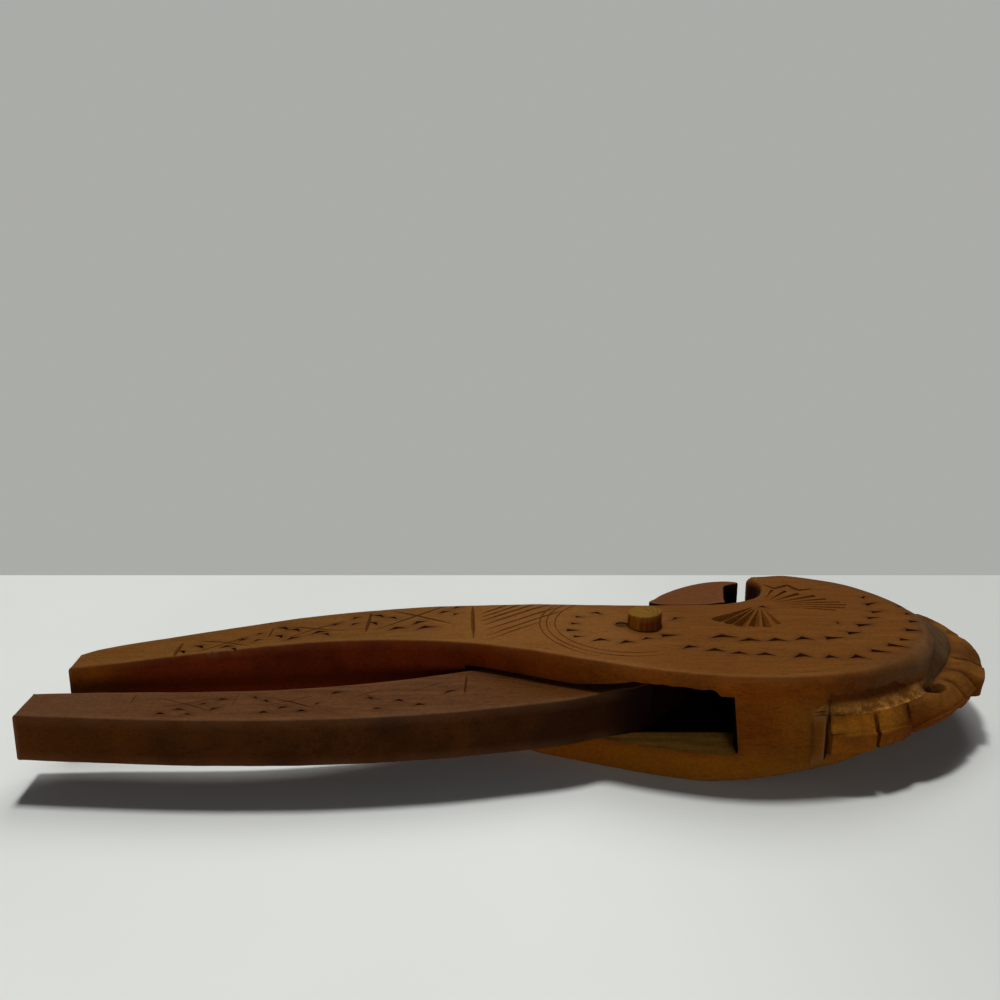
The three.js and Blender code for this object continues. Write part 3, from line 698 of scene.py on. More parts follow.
def carved_body(settings):
    size = settings.body
    outline = body_outline(size)
    centre = np.array(size.head_centre)
    thinning = (size.thickness - size.end_thickness) / 2

    from_centre = outline - centre
    angle = np.degrees(np.arctan2(from_centre[:, 1], from_centre[:, 0]))
    start, full, fading, end = BEVEL_ANGLES
    on_head = np.hypot(*from_centre.T) > size.head_radius * 0.9
    fade = 1 - smooth(angle, fading, end)
    bevel = np.clip((angle - start) / (full - start), 0, 1) * fade * on_head
    rim = tree_of(outline)

    def bottom(flat):
        heights = thinning * thinned(flat, size)
        for i, place in enumerate(flat):
            _, nearest, gap = rim.find((*place, 0))
            if bevel[nearest] > 0:
                width = lerp(size.edge_round, size.bevel_width, bevel[nearest])
                heights[i] += size.bevel_rise * bevel[nearest] * max(0.0, 1 - gap / width)
        return heights

    def top(flat):
        return size.thickness - thinning * thinned(flat, size)

    hook = outline - (centre + np.array(HOOK_TIP) * size.head_radius)
    rubbed = within(angle, *RUBBED_ANGLES) * on_head
    ridge = lerp(size.head_round, size.shoulder_round, within(angle, *SHOULDER_ANGLES))
    high_round = lerp(size.edge_round, ridge, rubbed)
    high_round = lerp(size.hook_round, high_round, smooth(np.hypot(*hook.T), 3 * MM, 12 * MM))
    shape = board(outline, size.spacing, (size.edge_round, high_round), bottom, top)
    return as_object("carved_body", shape)


def crest(settings):
    """A rim of leaf-like lobes with a cove up to the head's ridge."""
    size, form = settings.body, settings.crest
    radius, thickness = size.head_radius, size.thickness
    cheek = np.array(CHEEK[-4:])
    cheek_angles = np.degrees(np.arctan2(*cheek.T[::-1]))
    cheek_reaches = np.hypot(*cheek.T) * radius
    sunk = radius - form.sink
    # In degrees: steps between sections, finer ones near a lobe's cuts, and what parts two lobes
    step, fine_step, fine_reach, closest, parting = 1.3, 0.4, 4, 0.15, 0.06
    sections, owners = [], []
    for number, (start, end) in enumerate(LOBES):
        start, end = np.array(start, float), np.array(end, float)
        span = end[0] - start[0]
        fine = np.arange(0, fine_reach, fine_step)
        places = np.concatenate([fine, span - fine, np.arange(0, span, step)])
        places = np.unique(np.round(places[(places >= 0) & (places <= span)], 3))
        places = places[np.concatenate([[True], np.diff(places) > closest])]
        if number:
            places = np.where(places == 0, parting, places)
        last = span - parting * (number < len(LOBES) - 1)
        places = np.where(places >= span - 0.16, last, places)
        for place in np.unique(places):
            angle, foot, edge, high, wall = lerp(start, end, place / span)
            notch = groove = 0.0
            for cut_angle, cut_in, cut_down, half in LOBE_CUTS:
                near = max(0.0, 1 - abs(angle - cut_angle) / half)
                notch = max(notch, cut_in * MM * near)
                groove = max(groove, cut_down * MM * near)
            crown = form.crown * (1 - abs(2 * place / span - 1) ** 3)
            rim = np.interp(angle, cheek_angles, cheek_reaches)
            rim -= lerp(0.4, 1.0, within(angle, *SHOULDER_ANGLES)) * MM
            lean, droop, bend = LOBE_FORMS[number]
            # The first lobe is a plain panel of the wall
            owners.append(LOBED if number else UNCUT)
            sections.append(crest_section(
                np.array(size.head_centre), angle, rim, sunk, foot * radius, edge * radius - notch,
                high * thickness, wall * thickness, groove, crown, lean * MM, droop * MM, bend,
                form))
    shape = skin(sections)
    rows = len(sections[0])
    codes = [LOBED] * 2
    for owner in owners[:-1]:
        codes += [owner] * (rows - COVE_ROWS - 1) + [COVED] * (COVE_ROWS + 1)
    return as_object("crest", shape, codes)


def crest_section(centre, angle, rim, sunk, foot, edge, high, wall, groove, crown, lean, droop,
                  bend, form):
    """One section of the crest, from its root under the lobe and over it to the cove's top."""
    low = high - wall
    inner = edge - lean
    under = [(lerp(sunk, inner, share), lerp(form.root_floor, low, share ** 0.9))
             for share in (0, 0.25, 0.5, 0.75)]
    corner = min(form.corner, wall * 0.4)
    turns = np.linspace(0, math.pi / 2, 4)
    low_corner = [(inner - corner * (1 - math.sin(t)), low + corner * (1 - math.cos(t)))
                  for t in turns]
    crest_top = high - groove + crown * 0.4 - droop
    wall_rows = [(lerp(inner, edge, share ** 1.6), lerp(low + corner, crest_top - corner, share))
                 for share in (0.25, 0.5, 0.75)]
    high_corner = [(edge - corner * (1 - math.cos(t)), crest_top - corner * (1 - math.sin(t)))
                   for t in turns]
    leaf = []
    for share in np.linspace(0.08, 0.92, 10):
        out = 1 - share
        height = lerp(form.root_height, high, out ** bend)
        height += ((crown * 0.4 - groove) * min(1.0, out * 1.8)
                   + crown * math.sin(math.pi * out) * 0.6)
        height -= droop * max(0.0, out - 0.52) / 0.48
        leaf.append((lerp(foot, edge - corner, out), height))
    cove = []
    proud = 0.75 * smooth(angle, -44, -14)
    for share in np.linspace(1, 0, COVE_ROWS):
        turn = share * math.pi / 2
        out = lerp(1 - math.cos(turn), lerp(share, math.sin(turn), 0.5), proud)
        up = lerp(1 - math.sin(turn), lerp(1 - share, math.cos(turn), 0.5), proud)
        cove.append((lerp(rim, foot, out), lerp(form.root_height, form.cove_top, up)))
    profile = under + low_corner + wall_rows + high_corner + leaf + cove + [(sunk, form.cove_top)]
    return np.array([[*(centre + turned(angle, reach)), height] for reach, height in profile])


def tang_line(offset, angle):
    """A line at a distance from the peg's axis and at an angle: its start and its direction."""
    return turned(angle + 90, offset), turned(angle)


def mortise(settings):
    """What the lever's tang sweeps, with the ragged lip that the near wall shows."""
    size = settings.body
    over = 6 * MM
    out_y, near_y = size.neck + over, -size.head_radius - over
    near_wall = -size.head_radius + size.head_centre[1]
    near_end, far_end = (end * MM for end in MORTISE_ENDS)
    floor, roof, low_roof = MORTISE_FLOOR * MM, MORTISE_ROOF * MM, MORTISE_LOW_ROOF * MM
    lean = (far_end - near_end) / (size.neck + size.head_radius - size.head_centre[1])
    (shut, opened), far_angle = SWING, TANG_FAR[1]
    reach = SWEPT_FAR[0] * MM
    start, way = tang_line(reach, far_angle + opened)
    top_left = start + way * (out_y - start[1]) / way[1]
    half_swing = math.radians((opened - shut) / 2)
    bend = turned(far_angle + (shut + opened) / 2 + 90, reach / math.cos(half_swing))
    start, way = tang_line(reach, far_angle + shut)
    mouth = start + way * SWEPT_FAR[1] * MM
    # Right end from the near wall to the far one, then the far side that the tang sweeps
    corners = np.array([
        (near_end, near_y), (near_end, near_wall), (far_end, size.neck),
        (far_end + lean * over, out_y), top_left, bend, mouth, (mouth[0], near_y)])
    gap = 1.3 * MM
    sides = [respaced(corners[[i, (i + 1) % len(corners)]], gap) for i in range(len(corners))]
    outline = closed(*sides)

    def ragged(flat):
        """The roof, stepped down at its left, chipped and torn along the near lip."""
        heights = lerp(low_roof, roof, smooth(flat[:, 0], -23 * MM, -9 * MM))
        for i, (x, y) in enumerate(flat):
            inside = smooth(y + 0.030, 0.0, 0.007)
            chipped = within(x, -13 * MM, -5 * MM, 14.2 * MM, 15.0 * MM)
            torn = within(x, -14 * MM, -6 * MM, 15 * MM, 16 * MM)
            tear = noise.noise(Vector((x / (2.6 * MM), y / (5 * MM), 3.1))) + 0.2
            heights[i] += (1.5 * MM * chipped + 0.5 * MM * tear * torn) * (1 - inside)
        return heights

    def level(flat):
        return np.full(len(flat), floor)

    near_corner = np.hypot(*(outline - (near_end, near_wall)).T)
    low_round = lerp(1.6 * MM, 0.3 * MM, smooth(near_corner, 8 * MM, 16 * MM))
    places, faces = board(outline, gap, (low_round, 0.25 * MM), level, ragged)
    by_end = smooth(places[:, 0], near_end - 5 * MM, near_end)
    by_end *= 1 - smooth(places[:, 1], -26 * MM, -12 * MM)
    places[:, 0] += by_end * 0.11 * ((floor + roof) / 2 - places[:, 2])
    return as_object("mortise", (places, faces), HOLLOWED)


def post(name, place, radius, low, high, sides=48, flare=0.0, narrow=None, slant=0.0, oval=0.0,
         along=0.0):
    """A round or oval bore. A flare widens its top, where the lip has worn. It may narrow below a
    dished mouth, narrow being the thin part's radius and the heights where the dish ends and
    starts, and the thin part may slant away downwards."""
    levels = [(radius, low), (radius, high)]
    if narrow:
        thin, dish_low, dish_high = narrow
        levels = [(thin, low), (thin, dish_low), (radius, dish_high), (radius, high)]
    if flare:
        levels[1:] = [(radius, high - 1.6 * MM), (radius + flare * 0.4, high - 0.6 * MM),
                      (radius + flare, high), (radius + flare, high + 6 * MM)]
    angles = 360 * np.arange(sides) / sides
    shares = 1 + oval * np.cos(np.radians(2 * (angles - along)))
    rings = [[(*(np.array(place) + turned(angle, r * share) + (0, slant * (z == low))), z)
              for angle, share in zip(angles, shares)] for r, z in levels]
    return as_object(name, skin([np.array(line) for line in rings]), HOLLOWED)


def scoop(name, place, reaches):
    """A gouged hollow."""
    mesh = bpy.data.meshes.new(name)
    bm = bmesh.new()
    bmesh.ops.create_icosphere(bm, subdivisions=3, radius=1)
    for vertex in bm.verts:
        vertex.co = Vector(place) + Vector([a * b for a, b in zip(vertex.co, reaches)])
    bm.to_mesh(mesh)
    bm.free()
    return finish_mesh(mesh, name, CHIPPED)


def socket_id(tree, name):
    return next(item.identifier for item in tree.interface.items_tree
                if item.item_type == "SOCKET" and item.in_out == "INPUT" and item.name == name)


def new_tree(name, inputs):
    tree = bpy.data.node_groups.new(name, "GeometryNodeTree")
    tree.interface.new_socket("Geometry", in_out="INPUT", socket_type="NodeSocketGeometry")
    for label, kind, value in inputs:
        socket = tree.interface.new_socket(label, in_out="INPUT", socket_type=kind)
        if value is not None:
            socket.default_value = value
    tree.interface.new_socket("Geometry", in_out="OUTPUT", socket_type="NodeSocketGeometry")
    return tree


def wire(tree, kind, settings=None, inputs=None, output=0):
    """A new node with its settings and what its sockets take; gives one of its outputs."""
    node = tree.nodes.new(kind)
    for name, value in (settings or {}).items():
        setattr(node, name, value)
    for name, value in (inputs or {}).items():
        socket = node.inputs[name]
        if isinstance(value, bpy.types.NodeSocket):
            tree.links.new(value, socket)
        else:
            socket.default_value = value
    return node.outputs[output] if node.outputs else None


def math_node(tree, operation, first, second):
    return wire(tree, "ShaderNodeMath", {"operation": operation}, {0: first, 1: second})


def stored(tree, name):
    """A value that the drawn mesh holds for each of its points."""
    return wire(tree, "GeometryNodeInputNamedAttribute", {"data_type": "FLOAT"}, {"Name": name})


def ended(tree, cuts, finish):
    """Makes a tree's cuts real and gives them their finish."""
    real = wire(tree, "GeometryNodeRealizeInstances", None, {"Geometry": cuts})
    done = wire(tree, "GeometryNodeSetMaterial", None, {"Geometry": real, "Material": finish})
    wire(tree, "NodeGroupOutput", None, {0: done})
    return tree


def chip_tree():
    """Sets one chip on each point, turned and sized by the point's own values."""
    tree = new_tree("Cut chips", [
        ("Chip", "NodeSocketObject", None), ("Depth", "NodeSocketFloat", 0.001),
        ("Unevenness", "NodeSocketFloat", 0.1), ("Seed", "NodeSocketInt", 0),
        ("Finish", "NodeSocketMaterial", None)])
    given = tree.nodes.new("NodeGroupInput").outputs
    chip = wire(tree, "GeometryNodeObjectInfo", None, {"Object": given["Chip"]}, "Geometry")
    vary = wire(tree, "FunctionNodeRandomValue", {"data_type": "FLOAT"}, {
        "Seed": given["Seed"], 2: math_node(tree, "SUBTRACT", 1.0, given["Unevenness"]),
        3: math_node(tree, "ADD", 1.0, given["Unevenness"])}, 1)
    size = wire(tree, "ShaderNodeCombineXYZ", None, {
        "X": math_node(tree, "MULTIPLY", stored(tree, "length"), vary),
        "Y": math_node(tree, "MULTIPLY", stored(tree, "width"), vary), "Z": given["Depth"]})
    turn = wire(tree, "ShaderNodeCombineXYZ", None, {"Z": stored(tree, "turn")})
    rotation = wire(tree, "FunctionNodeEulerToRotation", None, {0: turn})
    cuts = wire(tree, "GeometryNodeInstanceOnPoints", None, {
        "Points": given["Geometry"], "Instance": chip, "Rotation": rotation, "Scale": size})
    return ended(tree, cuts, given["Finish"])


def groove_tree():
    """Sweeps a V-shaped cut along each drawn line, as wide as the line's own values say."""
    tree = new_tree("Cut grooves", [
        ("Depth", "NodeSocketFloat", 0.8), ("Finish", "NodeSocketMaterial", None)])
    given = tree.nodes.new("NodeGroupInput").outputs
    path = wire(tree, "GeometryNodeMeshToCurve", None, {"Mesh": given["Geometry"]})
    upright = wire(tree, "GeometryNodeSetCurveNormal", {"mode": "Z_UP"}, {"Curve": path})
    # A triangle with its point down. Where it meets the surface it is 1 wide to each side, and
    # it is as deep as Depth says.
    profile = wire(tree, "GeometryNodeCurvePrimitiveCircle", {"mode": "RADIUS"}, {
        "Resolution": 3, "Radius": 1.732})
    size = wire(tree, "ShaderNodeCombineXYZ", None, {
        "X": 1.0, "Y": math_node(tree, "DIVIDE", given["Depth"], 1.732), "Z": 1.0})
    for change in ({"Rotation": (0, 0, math.pi / 2)}, {"Scale": size}):
        profile = wire(tree, "GeometryNodeTransform", None, {"Geometry": profile, **change})
    cuts = wire(tree, "GeometryNodeCurveToMesh", None, {
        "Curve": upright, "Profile Curve": profile, "Scale": stored(tree, "half_width"),
        "Fill Caps": True})
    return ended(tree, cuts, given["Finish"])


def through_tree(name, mesh, tree, inputs, cut):
    """Runs a drawn mesh through a geometry tree and gives back the cutter it makes."""
    drawn = placed(name, mesh)
    modifier = drawn.modifiers.new("Cuts", "NODES")
    modifier.node_group = tree
    for label, value in inputs.items():
        modifier[socket_id(tree, label)] = value
    made = evaluated(drawn)
    drawn.modifiers.remove(modifier)
    discard(drawn)
    if not made.polygons:
        raise RuntimeError(f"{name} makes no cuts")
    return finish_mesh(made, name, cut)


def chip_shape(name, outline, deepest, lift=0.5):
    """A unit chip: its outline above the surface, running down to one deepest point."""
    outline, deep = np.array(outline, float), np.array(deepest, float)
    count = len(outline)
    spread = deep + (outline - deep) * (1 + lift)
    places = [(*p, lift) for p in spread] + [(*deep, -1.0)]
    faces = [tuple(range(count))] + [((i + 1) % count, i, count) for i in range(count)]
    return placed(name, mesh_of(name, places, (), faces))


def chips(name, shape, marks, height, tree, form, finish):
    """Cutters for a list of chips, each lying on the surface."""
    marks = np.array(marks, float)
    flat = marks[:, :2] * MM
    mesh = mesh_of(name, [(*p, z) for p, z in zip(flat, height(flat))])
    keep(mesh, "turn", np.radians(marks[:, 2]))
    keep(mesh, "length", marks[:, 3] * form.chip_size * MM)
    keep(mesh, "width", marks[:, 4] * form.chip_size * MM)
    return through_tree(name, mesh, tree, {
        "Chip": shape, "Depth": form.chip_depth, "Unevenness": form.unevenness, "Seed": form.seed,
        "Finish": finish}, CHIPPED)


def drawn_lines(lines, gap=1.4 * MM):
    """Each line as its points and half widths, tapering towards its ends."""
    drawn = []
    for line, half_width, first, last in lines:
        points = np.array(line, float) * MM
        points = spline(points, gap) if len(points) == 3 else respaced(points, gap)
        share = np.linspace(0, 1, len(points))
        ends = np.minimum(lerp(first, 1, share / 0.25), lerp(last, 1, (1 - share) / 0.25))
        drawn.append((points, half_width * MM * np.minimum(1, ends)))
    return drawn


def fan_lines():
    """The fan's gouges widen away from its corner and end abruptly."""
    corner = np.array(FAN_CORNER)
    drawn = []
    for angle, first, last, half_width in FAN:
        points = np.array([corner + turned(angle, lerp(first, last, share))
                           for share in (0, 0.3, 0.6, 0.85, 0.97, 1)])
        widths = np.array((0.15, 0.42, 0.72, 0.95, 1.0, 0.12))
        drawn.append((points * MM, half_width * MM * widths))
    return drawn


def ring_lines():
    """The rings round the peg, as lines to scribe."""
    return [([np.array(RING_CENTRE) + turned(angle, radius) for angle in np.arange(first, last, 4)],
             *RING_CUT) for radius, first, last in RINGS]


def apart(drawn, clear=1.5 * MM):
    """Lines in groups, so that no two of a group come near each other."""
    groups = []
    for points, widths in drawn:
        for group in groups:
            if all(gaps(points, other).min() > clear + widths.max() * 2 + wide.max() * 2
                   for other, wide in group):
                group.append((points, widths))
                break
        else:
            groups.append([(points, widths)])
    return groups


def grooves(name, drawn, height, tree, depth, finish, cut):
    """Cutters for drawn lines, one for each group of lines that lie apart."""
    for number, group in enumerate(apart(drawn)):
        places, edges, widths = [], [], []
        for points, halves in group:
            start = len(places)
            places += [(*p, z) for p, z in zip(points, height(points))]
            widths += list(halves)
            edges += [(start + i, start + i + 1) for i in range(len(points) - 1)]
        mesh = mesh_of(name, places, edges)
        keep(mesh, "half_width", widths)
        inputs = {"Depth": depth, "Finish": finish}
        yield through_tree(f"{name}_{number}", mesh, tree, inputs, cut)


def carve(piece, surface, form, finish, chip_sets, line_sets):
    """Cuts drawn chips and then drawn lines into a piece whose top is at the surface's height."""
    chip_set, groove_set = chip_tree(), groove_tree()
    for (outline, deepest), marks in chip_sets:
        shape = chip_shape("chip", outline, deepest)
        cutter = chips(f"{piece.name}_chips", shape, marks, surface, chip_set, form, finish)
        combine(piece, cutter, "DIFFERENCE")
        discard(shape)
    for drawn, deepened, code in line_sets:
        for cutter in grooves(f"{piece.name}_lines", drawn, surface, groove_set,
                              form.line_depth * deepened, finish, code):
            combine(piece, cutter, "DIFFERENCE")


def tang_side(side):
    """The two ends of one side of the tang."""
    offset, angle, start, end = side
    base, way = tang_line(offset * MM, angle)
    return np.array([base + way * start * MM, base + way * end * MM])


def lever_outline(size, gap):
    """Outlines of the lever with its tang, and of its nose."""
    near, far = (scaled(line, size.reach, size.spread) for line in (LEVER_NEAR, LEVER_FAR))
    nose = scaled(NOSE, size.nose_reach, size.nose_reach)
    near_tang, far_tang = tang_side(TANG_NEAR), tang_side(TANG_FAR)
    tip = nose[3:13] * 0.985

    def joined(start, end):
        return respaced(np.array([start, end]), gap)[1:-1]

    arm = closed(
        spline(np.vstack([near, near_tang[:1]]), gap), respaced(near_tang, gap)[1:],
        joined(near_tang[1], tip[0]), tip, joined(tip[-1], far_tang[0]), respaced(far_tang, gap),
        spline(far, gap), joined(far[-1], near[0]))
    return arm, closed(spline(nose, gap), joined(nose[-1], nose[0]))


def lever_solid(settings):
    size = settings.lever
    gap = 1.25 * MM
    arm, nose = lever_outline(size, gap)

    def half(flat):
        return lerp(size.thickness, size.end_thickness, thinned(flat, size)) / 2

    def low(flat):
        return size.middle - half(flat)

    def high(flat):
        return size.middle + half(flat)

    piece = as_object("carved_lever", board(arm, gap, (size.edge_round,) * 2, low, high))
    nose_half = size.nose_thickness / 2
    crisp = smooth(nose[:, 1], 21.6 * MM, 25 * MM)
    jaw = as_object("jaw", board(
        nose, gap, (size.nose_round, lerp(0.3 * MM, size.nose_round, crisp)),
        lambda flat: np.full(len(flat), size.middle - nose_half),
        lambda flat: np.full(len(flat), size.middle + nose_half)))
    combine(piece, jaw, "UNION")
    return piece, high


def mark_wear(piece, worn_reach, grimy_reach, seed):
    """Stores how near each point is to a worn ridge and to an inner corner or a cut's rim."""
    mesh = piece.data
    bm = bmesh.new()
    bm.from_mesh(mesh)
    cut = bm.faces.layers.float["cut"]
    ridges, corners = [], []
    for edge in bm.edges:
        if len(edge.link_faces) != 2:
            continue
        angle = edge.calc_face_angle_signed(0)
        cuts = [face[cut] for face in edge.link_faces]
        first, second = (vertex.co.copy() for vertex in edge.verts)
        spots = [(first + second) / 2]
        if edge.calc_length() >= 1.6 * MM:
            spots += [first, second]
        gathers = angle < -CORNER_ANGLE or min(cuts) < max(cuts) < SCRIBED
        if angle > RIDGE_ANGLE and max(cuts) == UNCUT:
            ridges += spots
        elif gathers and not {SCRIBED, GOUGED} & set(cuts):
            corners += spots
    bm.free()
    for name, spots, reach in (("worn", ridges, worn_reach), ("grimy", corners, grimy_reach)):
        tree = tree_of(spots)
        values = []
        for vertex in mesh.vertices:
            patchy = 0.72 + 0.5 * noise.noise(vertex.co / (7 * MM) + Vector((seed, 0, 0)))
            gap = tree.find(vertex.co)[2] if ridges and corners else 1.0
            values.append(max(0.0, min(1.0, math.exp(-(gap / reach) ** 2) * patchy * 1.25)))
        keep(mesh, name, values)
    mesh.shade_smooth()
    mesh.set_sharp_from_angle(angle=CRISP_ANGLE)


def settle(piece, node, body, finish):
    """Puts a finished piece in the frame: inside its node's box and on its body."""
    mesh = piece.data
    low, high = (np.array(corner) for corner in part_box(node))
    places = vectors(mesh.vertices, "co") + PEG_PLACE
    mesh.vertices.foreach_set("co", np.clip(places, low, high).reshape(-1))
    mesh.update()
    mesh.materials.clear()
    mesh.materials.append(finish)
    mesh.polygons.foreach_set("material_index", [0] * len(mesh.polygons))
    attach(piece, body)
    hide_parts(node)


class Value:
    """A shader socket; arithmetic on it adds Math nodes."""

    def __init__(self, finish, socket):
        self.finish, self.socket = finish, socket

    def _math(self, operation, *inputs, clamp=False):
        settings = {"operation": operation, "use_clamp": clamp}
        return self.finish.node("ShaderNodeMath", settings, dict(enumerate(inputs)))

    def __add__(self, other):
        return self._math("ADD", self, other)

    __radd__ = __add__

    def __sub__(self, other):
        return self._math("SUBTRACT", self, other)

    def __rsub__(self, other):
        return self._math("SUBTRACT", other, self)

    def __mul__(self, other):
        return self._math("MULTIPLY", self, other)

    __rmul__ = __mul__

    def __abs__(self):
        return self._math("ABSOLUTE", self)

    def clamped(self):
        return self._math("ADD", self, 0.0, clamp=True)

    def between(self, low, high):
        """0 below low, 1 above high, smooth in between. Places are in metres."""
        return self.finish.node("ShaderNodeMapRange", {"interpolation_type": "SMOOTHSTEP"}, {
            "Value": self, "From Min": low, "From Max": high})


class Finish:
    """A finish and the few calls that write its nodes."""

    def __init__(self, name):
        self.material = bpy.data.materials.new(name)
        self.material.use_nodes = True
        self.tree = self.material.node_tree
        self.tree.nodes.clear()

    def node(self, kind, settings=None, inputs=None, output=0):
        plain = {name: value.socket if isinstance(value, Value) else value
                 for name, value in (inputs or {}).items()}
        return Value(self, wire(self.tree, kind, settings, plain, output))

    def place(self):
        return self.node("ShaderNodeTexCoord", output="Object")

    def mapped(self, place, scale=(1, 1, 1), shift=(0, 0, 0)):
        return self.node("ShaderNodeMapping", None, {
            "Vector": place, "Scale": scale, "Location": shift})

    def noise(self, place, scale, detail=4.0, roughness=0.55, distortion=0.0):
        return self.node("ShaderNodeTexNoise", None, {
            "Vector": place, "Scale": scale, "Detail": detail, "Roughness": roughness,
            "Distortion": distortion})

    def kept(self, name):
        """A value stored on the mesh."""
        return self.node("ShaderNodeAttribute", {"attribute_name": name}, output="Fac")

    def part(self, code):
        """1 on the faces that a cut or a part of the crest made, 0 elsewhere."""
        return (1 - abs(self.kept("cut") - float(code)) * 2).clamped()

    def axis(self, place, number):
        """One coordinate of a place: 0 is x, 1 is y, 2 is z."""
        return self.node("ShaderNodeSeparateXYZ", None, {0: place}, output=number)

    def facing(self, number):
        """How far a face looks along an axis, from -1 to 1."""
        return self.axis(self.node("ShaderNodeNewGeometry", output="Normal"), number)

    def mix(self, factor, low, high, kind="MIX"):
        """A colour between two others; 6 and 7 are the node's colour sockets."""
        low, high = (end if isinstance(end, Value) else (*end, 1) for end in (low, high))
        settings = {"data_type": "RGBA", "blend_type": kind, "clamp_factor": True}
        return self.node("ShaderNodeMix", settings, {0: factor, 6: low, 7: high}, output=2)

    def surface(self, inputs):
        """Ends the finish with what its surface takes."""
        shader = self.node("ShaderNodeBsdfPrincipled", None, inputs)
        self.node("ShaderNodeOutputMaterial", None, {"Surface": shader})
        return self.material

    def wood(self, colour, roughness, relief, strength):
        """Ends a finish as rubbed wood, with the small relief that its fibres give it."""
        normal = self.node("ShaderNodeBump", None, {
            "Strength": strength, "Distance": 0.0006, "Height": relief})
        return self.surface({
            "Base Color": colour, "Roughness": roughness.clamped(), "Normal": normal, "IOR": 1.45,
            "Specular IOR Level": 0.03})


def shade(colour, factor):
    """A colour made darker or lighter."""
    return tuple(min(1.0, channel * factor) for channel in colour)


def shades(colour, dark, light):
    return shade(colour, dark), shade(colour, light)


def grain(finish, place):
    """Long fibres, short pores, wide bands, the fine specks of rubbed wood, and patches."""
    fibres = finish.noise(finish.mapped(place, (1.0, 9.0, 9.0)), 60.0, 6.0, 0.68, 0.4)
    pores = finish.noise(finish.mapped(place, (1.0, 6.0, 6.0)), 260.0, 2.0, 0.5)
    bands = finish.noise(finish.mapped(place, (1.0, 5.0, 4.0)), 14.0, 3.0, 0.55, 0.8)
    specks = finish.noise(place, 1250.0, 3.0, 0.7)
    patches = finish.noise(place, 60.0, 4.0, 0.62)
    return fibres, pores, bands, specks, patches


def carved(finish, colour, dirt_and_shade, depth):
    """Paints shade into the chips and onto the gouges' sides that face +X, and darkens the cut
    lines.
    """
    colour = finish.mix(finish.part(CHIPPED) * depth, colour, CHIP_SHADE)
    # Painted shade on the gouges' sides that face +X, as if the light came from the left
    shaded_gouge_side = finish.facing(0).between(0.0, 0.5)
    colour = finish.mix(finish.part(GOUGED) * (shaded_gouge_side * 0.5 + 0.08), colour, dirt_and_shade)
    return finish.mix(finish.part(SCRIBED) * depth * 0.6, colour, dirt_and_shade)


def rubbed(finish, colour, specks, pores, dirt_and_shade, bright):
    """Specks and pores, darker inner corners and cut rims, and the paler ridges, worn and with a
    painted highlight.
    """
    colour = finish.mix(specks.between(0.35, 0.68) * 0.55, colour, SPECK_TINT, "MULTIPLY")
    colour = finish.mix(pores.between(0.58, 0.72) * 0.45, colour, PORE_TINT, "MULTIPLY")
    colour = finish.mix(finish.kept("grimy") * 0.34, colour, dirt_and_shade)
    # Paler ridges: wear together with a painted highlight
    return finish.mix(finish.kept("worn") * 0.38, colour, bright)


